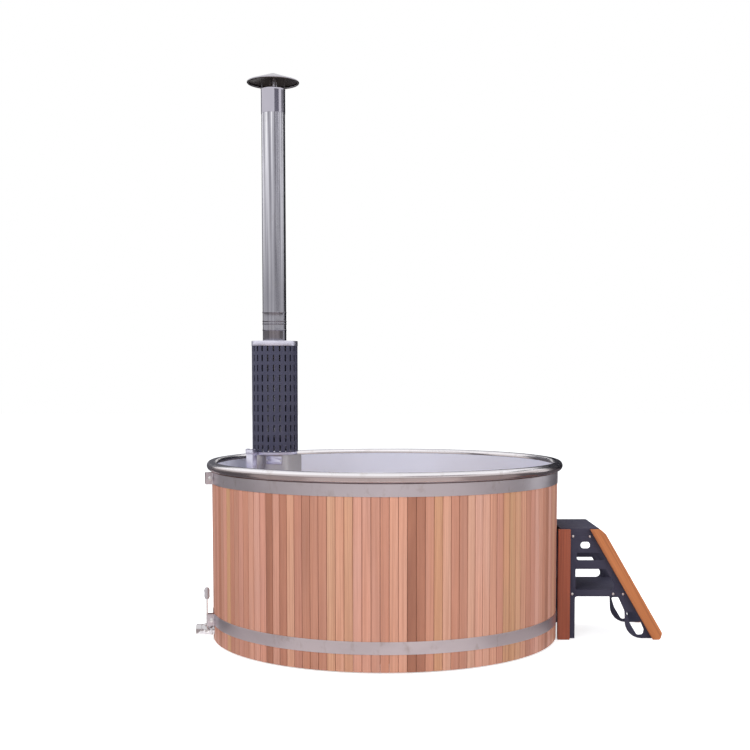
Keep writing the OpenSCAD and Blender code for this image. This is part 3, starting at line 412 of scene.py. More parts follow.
def sheetAlong(path, thickness):
    # closed outline of a thin sheet that follows an open path
    left, right = [], []
    for i, point in enumerate(path):
        ahead = path[min(i + 1, len(path) - 1)] - path[max(i - 1, 0)]
        normal = Vector((-ahead.y, ahead.x)).normalized() * thickness / 2
        left.append(point + normal)
        right.append(point - normal)
    return left + right[::-1]


def latheMesh(outline, steps):
    vertices, faces = [], []
    count = len(outline)
    for k in range(steps):
        angle = 2 * math.pi * k / steps
        c, s = math.cos(angle), math.sin(angle)
        vertices += [(r * c, r * s, z) for r, z in outline]
    for k in range(steps):
        a, b = k * count, (k + 1) % steps * count
        for i in range(count):
            j = (i + 1) % count
            faces.append((a + i, b + i, b + j, a + j))
    return vertices, faces


def lathe(name, outline, finish, centre=(0.0, 0.0, 0.0), steps=96, turn=None, smoothAngle=35.0):
    vertices, faces = latheMesh([tuple(p) for p in outline], steps)
    place = Matrix.Translation(centre) @ (turn or Matrix.Identity(4))
    return makePiece(name, [place @ Vector(v) for v in vertices], faces, finish, smoothAngle)


def tubeOutline(outer, inner, low, high, soft=0.0004):
    corners = [(outer, low), (outer, high), (inner, high), (inner, low)]
    return roundedPath([(r, z, soft) for r, z in corners], steps=2)


def loftFaces(rings, count):
    # sides between rings of count points, and a face on each end
    sides = [(a * count + i, a * count + (i + 1) % count, (a + 1) * count + (i + 1) % count,
              (a + 1) * count + i) for a in range(rings - 1) for i in range(count)]
    return sides + [tuple(range(count))[::-1], tuple(range((rings - 1) * count, rings * count))]


def discard(piece):
    mesh = piece.data
    bpy.data.objects.remove(piece)
    bpy.data.meshes.remove(mesh)


def joined(name, finish, *parts):
    # one piece out of several whole shells
    work = bmesh.new()
    for part in parts:
        work.from_mesh(part.data)
        discard(part)
    mesh = bpy.data.meshes.new(name)
    work.to_mesh(mesh)
    work.free()
    piece = linked(name, mesh)
    dressPiece(piece, finish)
    return piece


def drill(piece, finish, radius, reach, centre, turn=None, smoothAngle=35.0):
    # a round hole, reach metres to each side of its centre
    cutter = lathe("cutter", [(0.0, -reach), (radius, -reach), (radius, reach), (0.0, reach)], finish,
                   centre=centre, steps=48, turn=turn)
    cut = piece.modifiers.new("drainHole", "BOOLEAN")
    cut.operation = "DIFFERENCE"
    cut.solver = "EXACT"
    cut.object = cutter
    settled(piece, finish, smoothAngle)
    discard(cutter)


def pointsOf(mesh):
    points = np.zeros(len(mesh.vertices) * 3)
    mesh.vertices.foreach_get("co", points)
    return points.reshape(-1, 3)


def keepField(mesh, name, values):
    # a number or a vector for each point, under a name that a material or a tree reads
    values = np.asarray(values, np.float32)
    vectors = values.ndim == 2
    old = mesh.attributes.get(name)
    if old is not None:
        mesh.attributes.remove(old)
    field = mesh.attributes.new(name, "FLOAT_VECTOR" if vectors else "FLOAT", "POINT").data
    field.foreach_set("vector" if vectors else "value", values.ravel())


def shellsOf(mesh):
    # index lists of the vertices of each separate shell
    group = np.arange(len(mesh.vertices))
    edges = np.zeros(len(mesh.edges) * 2, int)
    mesh.edges.foreach_get("vertices", edges)
    edges = edges.reshape(-1, 2)
    while True:
        low = np.minimum(group[edges[:, 0]], group[edges[:, 1]])
        fresh = group.copy()
        np.minimum.at(fresh, edges[:, 0], low)
        np.minimum.at(fresh, edges[:, 1], low)
        fresh = fresh[fresh]
        if (fresh == group).all():
            break
        group = fresh
    return [np.flatnonzero(group == g) for g in np.unique(group)]


def markBoards(mesh, seed, lengthAxis=None):
    # grainPath: place in each board's own frame, length first; edgeNear: 1 on its long edges
    points = pointsOf(mesh)
    path, tone, edge = np.zeros_like(points), np.zeros(len(points)), np.zeros(len(points))
    draw = np.random.default_rng(seed)
    for shell in shellsOf(mesh):
        own = points[shell] - points[shell].mean(axis=0)
        if lengthAxis is None:
            axes = np.linalg.eigh(own.T @ own)[1][:, ::-1].T
        else:
            first = np.array(lengthAxis, float)
            flat = own - np.outer(own @ first, first)
            second = np.linalg.eigh(flat.T @ flat)[1][:, -1]
            axes = np.array([first, second, np.cross(first, second)])
        own = own @ axes.T
        half = np.abs(own).max(axis=0) + 1e-9
        path[shell] = own
        tone[shell] = draw.random()
        ratio = np.sort(1 - (half - np.abs(own))[:, 1:] / half[1:].min(), axis=1)
        edge[shell] = np.clip(ratio[:, 0], 0, 1)
    for name, values in (("grainPath", path), ("boardTone", tone), ("edgeNear", edge)):
        keepField(mesh, name, values)


def softCopy(node, name, finish, soft, steps=2, boards=None, lengthAxis=None):
    # a copy of a CAD node with rounded edges, which then stands for it
    mesh = nodes[node].data.copy()
    mesh.name = name
    work = bmesh.new()
    work.from_mesh(mesh)
    bmesh.ops.remove_doubles(work, verts=work.verts, dist=2e-6)
    bmesh.ops.dissolve_limit(work, angle_limit=math.radians(0.5), verts=work.verts, edges=work.edges)
    work.to_mesh(mesh)
    work.free()
    piece = linked(name, mesh)
    bevel = piece.modifiers.new("soften", "BEVEL")
    bevel.width = soft
    bevel.segments = steps
    bevel.limit_method = "ANGLE"
    bevel.angle_limit = math.radians(40)
    settled(piece, finish, 40.0)
    if boards is not None:
        markBoards(piece.data, boards, lengthAxis)
    return standFor(piece, node)


def useFinish(node, finish):
    for place in nodes[node].material_slots:
        place.material = finishes[finish]


def startTree(name, inputs):
    tree = bpy.data.node_groups.new(name, "GeometryNodeTree")
    tree.interface.new_socket("Geometry", in_out="INPUT", socket_type="NodeSocketGeometry")
    keys = {label: tree.interface.new_socket(label, in_out="INPUT", socket_type=kind).identifier
            for label, kind in inputs.items()}
    tree.interface.new_socket("Geometry", in_out="OUTPUT", socket_type="NodeSocketGeometry")
    return tree, keys, tree.nodes.new("NodeGroupInput").outputs, tree.nodes.new("NodeGroupOutput").inputs[0]


def dressTree(tree, shape, given, out):
    dressed = addNode(tree, "GeometryNodeSetMaterial", {"Geometry": shape, "Material": given["Finish"]})
    tree.links.new(dressed.outputs[0], out)


def realized(tree, instances):
    return addNode(tree, "GeometryNodeRealizeInstances", {"Geometry": instances}).outputs[0]


def copiesOn(tree, points, source, turn=None):
    inputs = {"Points": points,
              "Instance": addNode(tree, "GeometryNodeObjectInfo", {"Object": source}).outputs["Geometry"]}
    if turn is not None:
        inputs["Rotation"] = addNode(tree, "FunctionNodeEulerToRotation", {"Euler": turn}).outputs[0]
    return addNode(tree, "GeometryNodeInstanceOnPoints", inputs).outputs[0]


def vectorNamed(tree, name):
    made = addNode(tree, "GeometryNodeInputNamedAttribute", {"Name": name}, data_type="FLOAT_VECTOR")
    return made.outputs[0]


def randomTone(tree, instances, seed):
    tone = addNode(tree, "FunctionNodeRandomValue", {"Seed": seed}, data_type="FLOAT")
    return addNode(tree, "GeometryNodeStoreNamedAttribute",
                   {"Geometry": instances, "Name": "boardTone", "Value": tone.outputs[1]},
                   data_type="FLOAT", domain="INSTANCE").outputs[0]


def ringTree():
    # copies of one object turned round Z
    tree, keys, given, out = startTree("ringOfCopies", {
        "Copy": "NodeSocketObject", "Count": "NodeSocketInt", "Seed": "NodeSocketInt",
        "Finish": "NodeSocketMaterial"})
    points = addNode(tree, "GeometryNodePoints", {"Count": given["Count"]}).outputs[0]
    index = addNode(tree, "GeometryNodeInputIndex").outputs[0]
    step = calc(tree, "DIVIDE", 2 * math.pi, given["Count"])
    turn = addNode(tree, "ShaderNodeCombineXYZ", {"Z": calc(tree, "MULTIPLY", index, step)}).outputs[0]
    placed = copiesOn(tree, points, given["Copy"], turn)
    dressTree(tree, realized(tree, randomTone(tree, placed, given["Seed"])), given, out)
    return tree, keys


def placeTree():
    # copies of one object on the points of the mesh, each turned by the point's own angles
    tree, keys, given, out = startTree("placedCopies", {
        "Copy": "NodeSocketObject", "Seed": "NodeSocketInt", "Finish": "NodeSocketMaterial"})
    placed = copiesOn(tree, given["Geometry"], given["Copy"], vectorNamed(tree, "turn"))
    dressTree(tree, realized(tree, randomTone(tree, placed, given["Seed"])), given, out)
    return tree, keys


def guardTree():
    # a flat grid of cells, rolled up into a drum and welded
    tree, keys, given, out = startTree("rolledGrid", {
        "Cell": "NodeSocketObject", "Rows": "NodeSocketInt", "Columns": "NodeSocketInt",
        "Cell Width": "NodeSocketFloat", "Cell Height": "NodeSocketFloat", "Radius": "NodeSocketFloat",
        "Weld": "NodeSocketFloat", "Finish": "NodeSocketMaterial"})
    total = calc(tree, "MULTIPLY", given["Rows"], given["Columns"])
    index = addNode(tree, "GeometryNodeInputIndex").outputs[0]
    column = calc(tree, "FLOORED_MODULO", index, given["Columns"])
    row = calc(tree, "FLOOR", calc(tree, "DIVIDE", calc(tree, "ADD", index, 0.01), given["Columns"]))
    spot = addNode(tree, "ShaderNodeCombineXYZ",
                   {"X": calc(tree, "MULTIPLY", column, given["Cell Width"]),
                    "Z": calc(tree, "MULTIPLY", row, given["Cell Height"])}).outputs[0]
    points = addNode(tree, "GeometryNodePoints", {"Count": total, "Position": spot}).outputs[0]
    real = realized(tree, copiesOn(tree, points, given["Cell"]))
    apart = addNode(tree, "ShaderNodeSeparateXYZ",
                    {"Vector": addNode(tree, "GeometryNodeInputPosition").outputs[0]}).outputs
    angle = calc(tree, "DIVIDE", apart["X"], given["Radius"])
    rolled = addNode(tree, "ShaderNodeCombineXYZ",
                     {"X": calc(tree, "MULTIPLY", calc(tree, "COSINE", angle), given["Radius"]),
                      "Y": calc(tree, "MULTIPLY", calc(tree, "SINE", angle), given["Radius"]),
                      "Z": apart["Z"]}).outputs[0]
    drum = addNode(tree, "GeometryNodeSetPosition", {"Geometry": real, "Position": rolled}).outputs[0]
    welded = addNode(tree, "GeometryNodeMergeByDistance", {"Geometry": drum, "Distance": given["Weld"]})
    dressTree(tree, welded.outputs[0], given, out)
    return tree, keys


trees = {"ring": ringTree(), "place": placeTree(), "guard": guardTree()}


def grow(name, kind, values, finish, spots=None, smoothAngle=35.0):
    # runs one of the trees and keeps its result as a plain mesh
    mesh = bpy.data.meshes.new(name)
    mesh.from_pydata([place for place, turn in spots] if spots else [(0, 0, 0)], [], [])
    if spots:
        keepField(mesh, "turn", [turn for place, turn in spots])
    piece = linked(name, mesh)
    tree, keys = trees[kind]
    modifier = piece.modifiers.new("grow", "NODES")
    modifier.node_group = tree
    for label, value in {**values, "Finish": finishes[finish]}.items():
        modifier[keys[label]] = value
    settled(piece, finish, smoothAngle)
    spare = piece.data.attributes.get("turn")
    if spare is not None:
        piece.data.attributes.remove(spare)
    return piece


cameraPlan = {"place": (0.0, -6.984, 1.507), "pitch": 86.0, "lens": 57.456, "sensor": 36.0,
              "shift": (-0.0129, 0.1135)}


def buildCamera():
    data = bpy.data.cameras.new("photoCamera")
    data.sensor_width = cameraPlan["sensor"]
    data.lens = cameraPlan["lens"]
    data.shift_x, data.shift_y = cameraPlan["shift"]
    camera = linked("photoCamera", data)
    camera.location = cameraPlan["place"]
    camera.rotation_euler = (math.radians(cameraPlan["pitch"]), 0.0, 0.0)
    scene.camera = camera


lightPlan = {
    "sky": (0.93, 0.95, 1.0), "skyStrength": 0.62,
    "lamps": [  # name, place, aim, width, height, power
        ("keySoft", (-4.2, -6.0, 5.2), (0.0, 0.0, 1.0), 5.6, 5.6, 340.0),
        ("fillSoft", (5.0, -5.0, 3.0), (0.0, 0.0, 0.8), 5.0, 5.0, 135.0),
        ("topSoft", (0.0, 0.5, 7.5), (0.0, 0.0, 0.8), 4.0, 4.0, 170.0),
        ("backSoft", (2.5, 6.5, 4.0), (0.0, 0.0, 1.0), 3.0, 3.0, 90.0)],
    "flags": [  # curved screens that only reflections see: from and to angle, low, high, colour
        (30.0, 89.0, 0.0, 5.4, (0.02, 0.02, 0.026)),
        (94.0, 138.0, 0.0, 5.3, (0.12, 0.12, 0.135)),
        (283.0, 330.0, 4.5, 6.4, (0.22, 0.215, 0.25)),
        (362.0, 386.0, 4.6, 6.4, (0.19, 0.19, 0.20)),
        (138.0, 215.0, 0.0, 1.5, (0.30, 0.28, 0.28)),
        (215.0, 325.0, 0.0, 1.5, (0.48, 0.43, 0.43)),
        (325.0, 372.0, 0.0, 1.5, (0.26, 0.24, 0.24))],
    "flagDistance": 7.6,
    "mats": [  # painted reflections of the ground: glowing sheets like the screens, lying on the ground round the tub: from and to angle, colour
        (228.0, 312.0, (0.72, 0.64, 0.615)),
        (312.0, 352.0, (0.42, 0.36, 0.35)),
        (188.0, 228.0, (0.48, 0.42, 0.41)),
        (352.0, 548.0, (0.12, 0.11, 0.12))],
    "matNear": 1.10, "matHeight": 0.01,
}


def aimed(place, aim):
    way = Vector(aim) - Vector(place)
    return Matrix.Translation(place) @ way.to_track_quat("-Z", "Y").to_matrix().to_4x4()


def seenOrMirrored(tree):
    # 1 for rays from the camera, off a glossy surface or through glass, else 0
    ray = addNode(tree, "ShaderNodeLightPath").outputs
    return calc(tree, "MAXIMUM", calc(tree, "MAXIMUM", ray["Is Camera Ray"], ray["Is Glossy Ray"]),
                ray["Is Transmission Ray"])


def buildLight():
    world = bpy.data.worlds.new("softStudio")
    scene.world = world
    world.use_nodes = True
    tree = world.node_tree
    sky = addNode(tree, "ShaderNodeBackground",
                  {"Color": (*lightPlan["sky"], 1.0), "Strength": lightPlan["skyStrength"]}).outputs[0]
    white = addNode(tree, "ShaderNodeBackground", {"Color": (1.0, 1.0, 1.0, 1.0), "Strength": 1.0}).outputs[0]
    mixed = addNode(tree, "ShaderNodeMixShader", {0: seenOrMirrored(tree), 1: sky, 2: white}).outputs[0]
    tree.links.new(mixed, tree.nodes["World Output"].inputs["Surface"])
    for name, place, aim, width, height, power in lightPlan["lamps"]:
        data = bpy.data.lights.new(name, "AREA")
        data.shape = "RECTANGLE"
        data.size, data.size_y, data.energy = width, height, power
        lamp = linked(name, data)
        lamp.matrix_world = aimed(place, aim)
        lamp.visible_glossy = False


def arcPiece(name, start, end, sides, colour, steps=12):
    # part of a drum or a disc that glows in its colour and that only reflections see;
    # sides are the (radius, height) of its two long edges
    finish, tree, _ = startFinish(name)
    glow = addNode(tree, "ShaderNodeEmission", {"Color": (*colour, 1.0), "Strength": 1.0}).outputs[0]
    tree.links.new(glow, tree.nodes["Material Output"].inputs["Surface"])
    angles = [math.radians(a) for a in np.linspace(start, end, steps + 1)]
    mesh = bpy.data.meshes.new(name)
    mesh.from_pydata([(r * math.cos(a), r * math.sin(a), z) for r, z in sides for a in angles], [],
                     [(k, k + 1, steps + k + 2, steps + k + 1) for k in range(steps)])
    mesh.materials.append(finish)
    piece = linked(name, mesh)
    piece.visible_camera = False
    piece.visible_diffuse = False
    piece.visible_transmission = False
    piece.visible_shadow = False


def buildFlags():
    far, near, level = lightPlan["flagDistance"], lightPlan["matNear"], lightPlan["matHeight"]
    for i, (start, end, low, high, colour) in enumerate(lightPlan["flags"]):
        arcPiece(f"flag{i}", start, end, [(far, low), (far, high)], colour)
    for i, (start, end, colour) in enumerate(lightPlan["mats"]):
        arcPiece(f"mat{i}", start, end, [(near, level), (far, level)], colour)


floorPlan = {"half": 40.0, "level": -0.001, "colour": (0.86, 0.86, 0.86),
             "lift": 0.62}  # glow for camera and reflections, so that the floor comes out white


def buildFloor():
    half, level = floorPlan["half"], floorPlan["level"]
    finish, tree, shader = startFinish("paleFloor")
    shader.inputs["Base Color"].default_value = (*floorPlan["colour"], 1.0)
    shader.inputs["Roughness"].default_value = 1.0
    shader.inputs["Specular IOR Level"].default_value = 0.0
    glow = addNode(tree, "ShaderNodeEmission",
                   {"Color": (1.0, 1.0, 1.0, 1.0),
                    "Strength": calc(tree, "MULTIPLY", seenOrMirrored(tree), floorPlan["lift"])}).outputs[0]
    both = addNode(tree, "ShaderNodeAddShader", {0: shader.outputs[0], 1: glow}).outputs[0]
    tree.links.new(both, tree.nodes["Material Output"].inputs["Surface"])
    corners = [(-half, -half, level), (half, -half, level), (half, half, level), (-half, half, level)]
    mesh = bpy.data.meshes.new("floor")
    mesh.from_pydata(corners, [], [(0, 1, 2, 3)])
    mesh.materials.append(finish)
    linked("floor", mesh)


buildCamera()
buildLight()
buildFlags()
buildFloor()
scene.view_settings.view_transform = "Standard"
print("camera, light and floor ready")


tub = {"radius": 1.0, "boards": 136, "thickness": 0.024, "low": 0.006, "top": 0.968, "gap": 0.0011,
       "edgeRound": 0.0032, "crown": 0.0005, "crownShare": 0.42, "between": (0.25, 0.5, 0.75),
       "endChamfer": 0.0015, "seed": 4712, "linerIn": 0.9737,
       "floor": 0.114, "floorRound": 0.012, "rimMiddle": 0.999, "rimCentre": 1.003, "rimTube": 0.027,
       "rimFrom": 176, "rimTo": -104, "sheet": 0.002}

drain = {"side": -0.215, "height": 0.065, "pipe": 0.029, "pipeWall": 0.003, "hole": 0.0295,
         "floorHole": 0.026, "bodyLength": 0.046, "sunk": 0.008, "tail": 0.046, "groove": 0.012,
         "grooveHalf": 0.002, "grooveDeep": 0.0012, "lip": 0.004}
drain["wall"] = -math.sqrt(tub["radius"] ** 2 - drain["side"] ** 2)  # where the pipe meets the wall


def buildStaves():
    halfAngle = math.pi / tub["boards"]
    inner = tub["radius"] - tub["thickness"]
    outer = tub["radius"] - tub["crown"]
    sideIn = inner * math.tan(halfAngle) - tub["gap"] / 2
    sideOut = tub["radius"] * math.tan(halfAngle) - tub["gap"] / 2
    soft, chamfer = tub["edgeRound"], tub["endChamfer"]
    outline = roundedPath([(inner, -sideIn, 0.0), (outer, -sideOut, soft), (outer, sideOut, soft),
                           (inner, sideIn, 0.0)], steps=3)
    # the outer face is slightly crowned between its two rounded corners
    crown = [Vector((outer + tub["crown"] * (1 - (t / 2) ** 2), sideOut * tub["crownShare"] * t))
             for t in (-1, 0, 1)]
    half = len(outline) // 2
    outline = outline[:half] + crown + outline[half:]
    shrunk = 1.0 - chamfer
    levels = [(tub["low"], shrunk), (tub["low"] + chamfer, 1.0), *((z, 1.0) for z in tub["between"]),
              (tub["top"] - chamfer, 1.0), (tub["top"], shrunk)]
    # only the outer face draws in at the board's ends
    middle = (inner + outer) / 2
    vertices = [(p.x * k if p.x > middle else p.x, p.y, z) for z, k in levels for p in outline]
    board = makePiece("board", vertices, loftFaces(len(levels), len(outline)), "staveWood")
    points = pointsOf(board.data)
    keepField(board.data, "grainPath", np.stack([points[:, 2], points[:, 1], points[:, 0]], axis=1))
    keepField(board.data, "edgeNear", np.clip(np.abs(points[:, 1]) / sideOut, 0, 1))
    ring = grow("staves", "ring", {"Copy": board, "Count": tub["boards"], "Seed": tub["seed"]}, "staveWood",
                smoothAngle=30.0)
    discard(board)
    drill(ring, "staveWood", drain["hole"], 0.06, (drain["wall"], drain["side"], drain["height"]),
          Matrix.Rotation(math.pi / 2, 4, "Y"), 30.0)
    standFor(ring, "staves", "drain_staves")


def buildLiner():
    soft, side, level = tub["floorRound"], tub["linerIn"] + tub["sheet"] / 2, tub["floor"] + tub["sheet"] / 2
    path = roundedPath([(0.0, level, 0.0), (side, level, soft), (side, tub["rimMiddle"], 0.0)],
                       closed=False, steps=6)
    fine = [path[0]] + [Vector((r, level)) for r in (0.2, 0.4, 0.6, 0.8)] + path[1:]
    liner = lathe("linerSheet", sheetAlong(fine, tub["sheet"]), "linerSteel", steps=256)
    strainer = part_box("drain_strainer")
    middle = (strainer[0] + strainer[1]) / 2
    drill(liner, "linerSteel", drain["floorHole"], 0.03, (middle.x, middle.y, tub["floor"]))
    standFor(liner, "liner")


def buildRim():
    middle, radius = tub["rimCentre"], tub["rimTube"] - tub["sheet"] / 2
    sweep = np.linspace(math.radians(tub["rimFrom"]), math.radians(tub["rimTo"]), 44)
    path = [Vector((middle + radius * math.cos(a), tub["rimMiddle"] + radius * math.sin(a))) for a in sweep]
    standFor(lathe("rolledRim", sheetAlong(path, tub["sheet"]), "rimSteel", steps=256), "rim")


hoop = {"middle": 1.0018, "band": 0.002, "ear": 0.004, "height": 0.066, "earAt": 0.021, "earEnd": 1.0446,
        "fold": 0.008, "soft": 0.0006, "direction": 195.0, "low": 0.098, "high": 0.902,
        "past": 0.004, "steps": 130}  # past: angle between the fold and the first point of the round


def buildHoop(name, node, low):
    # half of the band from an ear's end to the back, then its mirror: (point, thickness)
    ring, at, fold, soft = hoop["middle"], hoop["earAt"], hoop["fold"], hoop["soft"]
    root = ring + fold + hoop["band"]
    path = [(Vector((x, at)), hoop["ear"]) for x in np.linspace(hoop["earEnd"], root, 4)]
    for share in np.linspace(0, 1, 7):
        angle = -math.pi / 2 * (1 + share)
        path.append((Vector((ring + fold + fold * math.cos(angle), at + fold + fold * math.sin(angle))),
                     hoop["ear"] + (hoop["band"] - hoop["ear"]) * share))
    first = math.asin((at + fold) / ring) + hoop["past"]
    path += [(Vector((ring * math.cos(a), ring * math.sin(a))), hoop["band"])
             for a in np.linspace(first, math.pi, hoop["steps"])]
    path += [(Vector((p.x, -p.y)), t) for p, t in path[-2::-1]]
    high = hoop["height"]
    section = [(-0.5, soft), (-0.5, high - soft), (-0.2, high), (0.2, high), (0.5, high - soft), (0.5, soft),
               (0.2, 0.0), (-0.2, 0.0)]
    turn = Matrix.Rotation(math.radians(hoop["direction"]), 4, "Z")
    vertices = []
    for i, (point, thick) in enumerate(path):
        ahead = path[min(i + 1, len(path) - 1)][0] - path[max(i - 1, 0)][0]
        normal = Vector((-ahead.y, ahead.x)).normalized()
        for side, up in section:
            spot = point + normal * side * thick
            vertices.append(turn @ Vector((spot.x, spot.y, low + up)))
    standFor(makePiece(name, vertices, loftFaces(len(path), len(section)), "hoopSteel", 30.0), node)


thread = {"pitch": 0.00175, "depth": 0.0008, "land": 0.0002}
hexHead = {"chamfer": 0.0012, "crown": 0.44, "washer": 0.62}  # crown and washer: shares of the width


def hexBolt(name, finish, across, headHigh, shankR, shankLong, washer=0.0):
    # hex head with a chamfered crown, shank down along -Z
    shoulder = headHigh - hexHead["chamfer"]
    outline = [(0.0, headHigh), (across * hexHead["crown"], headHigh), (across / 2, shoulder),
               (across / 2, washer), (0.0, washer)]
    vertices, faces = latheMesh(outline, 48)
    shaped = []
    for x, y, z in vertices:
        r, a = math.hypot(x, y), math.atan2(y, x)
        if z <= shoulder + 1e-9 and r > 0:
            flat = across / 2 / math.cos((a + math.pi / 6) % (math.pi / 3) - math.pi / 6)
            x, y = flat * math.cos(a), flat * math.sin(a)
        shaped.append((x, y, z))
    parts = [makePiece("head", shaped, faces, finish, 25.0)]
    if washer:
        plate = tubeOutline(across * hexHead["washer"], 0.0, 0.0, washer, 0.0003)[:-3]
        parts.append(lathe("washer", plate + [Vector((0.0, washer)), Vector((0.0, 0.0))], finish, steps=48))
    if shankLong:
        pitch, root = thread["pitch"], shankR - thread["depth"]
        teeth = [(0.0, 0.0)]
        for k in range(int(shankLong / pitch)):
            teeth += [(shankR, -k * pitch - thread["land"]), (root, -(k + 0.5) * pitch)]
        teeth += [(root, -shankLong), (0.0, -shankLong)]
        parts.append(lathe("shank", teeth, finish, steps=32))
    return joined(name, finish, *parts)


hoopBolt = {"at": 1.0206, "across": 0.0208, "headHigh": 0.008, "nutHigh": 0.0130, "shank": 0.0058,
            "past": 0.022, "washer": 0.003}


def buildHoopBolts():
    side = hoop["earAt"] + hoop["ear"] / 2
    bolt = hexBolt("hoopBolt", "boltSteel", hoopBolt["across"], hoopBolt["headHigh"], hoopBolt["shank"],
                   2 * side + hoopBolt["past"])
    nut = hexBolt("hoopNut", "boltSteel", hoopBolt["across"], hoopBolt["nutHigh"], 0.0, 0.0,
                  washer=hoopBolt["washer"])
    turn = Matrix.Rotation(math.radians(hoop["direction"]), 4, "Z")
    for name, node, copy, way in (("hoopBolts", "hoop_bolts", bolt, -1), ("hoopNuts", "hoop_nuts", nut, 1)):
        # the copy's Z points outwards along the bolt
        facing = tuple((turn @ Matrix.Rotation(-way * math.pi / 2, 4, "X")).to_euler())
        spots = [(tuple(turn @ Vector((hoopBolt["at"], way * side, low + hoop["height"] / 2))), facing)
                 for low in (hoop["low"], hoop["high"])]
        standFor(grow(name, "place", {"Copy": copy, "Seed": 1}, "boltSteel", spots), node)
        discard(copy)


buildStaves()
print("staves done")
buildLiner()
buildRim()
buildHoop("upperHoop", "upper_hoop", hoop["high"])
buildHoop("lowerHoop", "lower_hoop", hoop["low"])
buildHoopBolts()
print("liner, rim and hoops done")


stove = {"distance": 0.785, "direction": 149.4}
stoveDirection = math.radians(stove["direction"])
flueAxis = stove["distance"] * Vector((math.cos(stoveDirection), math.sin(stoveDirection), 0.0))

flue = {"radius": 0.0725, "wall": 0.0015, "neckTop": 1.030, "seam": 1.820, "cowl": 3.094, "top": 3.241,
        "bead": 0.0024, "beadHalf": 0.0045, "lowerBeads": (1.140, 1.790), "beads": (1.828, 1.843, 1.896),
        "slip": 0.00015, "sleeve": 0.0010, "hem": 0.0008, "hemLong": 0.006, "hemSlope": 0.002,
        "hemLead": 0.004, "hemEdge": 0.001, "endChamfer": 0.0006, "collar": 0.007, "collarSheet": 0.002,
        "collarFoot": 0.003, "collarHigh": 0.030, "steps": 128}


def pipeOutline(outer, inner, low, high, beads=(), hem=0.0):
    outline = [(outer, low)]
    for middle in beads:
        outline += [(outer + flue["bead"] * (1 + math.cos(math.pi * t)) / 2, middle + flue["beadHalf"] * t)
                    for t in np.linspace(-1, 1, 11)]
    if hem:
        # the first of these rings keeps the wall below the hem evenly shaded
        start = high - flue["hemLong"]
        foot = start - flue["hemSlope"]
        outline += [(outer, foot - flue["hemLead"]), (outer, foot), (outer + hem, start),
                    (outer + hem, high - flue["hemEdge"])]
    outline += [(outer + hem - flue["endChamfer"], high), (inner, high), (inner, low)]
    return outline


def buildFlue():
    outer, inner, foot = flue["radius"], flue["radius"] - flue["wall"], flue["neckTop"]
    sheet, high = flue["collarSheet"], foot + flue["collarHigh"]
    wide, low = outer + flue["collar"], foot + flue["collarFoot"]
    collar = roundedPath([(wide, foot, 0.0006), (wide, low, 0.0006), (outer + sheet, low, 0.003),
                          (outer + sheet, high, 0.0006), (outer, high, 0.0), (outer, foot, 0.0)], steps=3)
    lengths = {
        "flueLower": ("flue_lower", "flueSteel",
                      pipeOutline(outer - flue["slip"], inner, foot, flue["seam"], flue["lowerBeads"])),
        "flueUpper": ("flue_upper", "flueSteel",
                      pipeOutline(outer, inner, flue["seam"], flue["cowl"], flue["beads"])),
        "flueCowl": ("flue_cowl", "cowlSteel",
                     pipeOutline(outer + flue["sleeve"], inner, flue["cowl"], flue["top"], hem=flue["hem"])),
        "flueCollar": ("flue_collar", "flueSteel", collar)}
    for name, (node, finish, outline) in lengths.items():
        standFor(lathe(name, outline, finish, flueAxis, flue["steps"]), node)


cap = {"radius": 0.1575, "rim": 3.275, "peak": 3.335, "lip": 0.005, "sheet": 0.0016,
       "lipFrom": -200, "lipTo": 95, "crown": ((0.020, 0.0045), (0.012, 0.0018)), "flat": 0.006}


def buildCap():
    lip, low = cap["lip"], cap["sheet"] / 2
    sweep = np.linspace(math.radians(cap["lipFrom"]), math.radians(cap["lipTo"]), 16)
    path = [Vector((cap["radius"] - lip + lip * math.cos(a), cap["rim"] + lip + lip * math.sin(a)))
            for a in sweep]
    path += [Vector((r, cap["peak"] - drop)) for r, drop in (*cap["crown"], (cap["flat"], low), (0.0, low))]
    outline = [Vector((max(p.x, 0.0), p.y)) for p in sheetAlong(path, cap["sheet"])]
    standFor(lathe("rainCap", outline, "capSteel", flueAxis, 128), "rain_cap")
    softCopy("cap_straps", "capStraps", "capSteel", 0.0003)


guard = {"outer": 0.140, "sheet": 0.0015, "low": 1.046, "high": 1.721, "rows": 11, "columns": 24,
         "slotWide": 0.010, "slotHigh": 0.042, "firstRow": 1.070, "pitch": 0.0609, "weld": 0.0002,
         "turned": 0.2,  # share of a column that the slots are turned by
         "endPoint": 0.31,  # where the cell's outer end points stand, as a share of half its width
         "footBore": 0.0805, "footIn": 0.0045, "footRise": 0.009, "footSheet": 0.002,
         "headBore": 0.0728, "headOut": 0.0015, "headLow": 1.693, "headTop": 1.723, "headSheet": 0.0012}


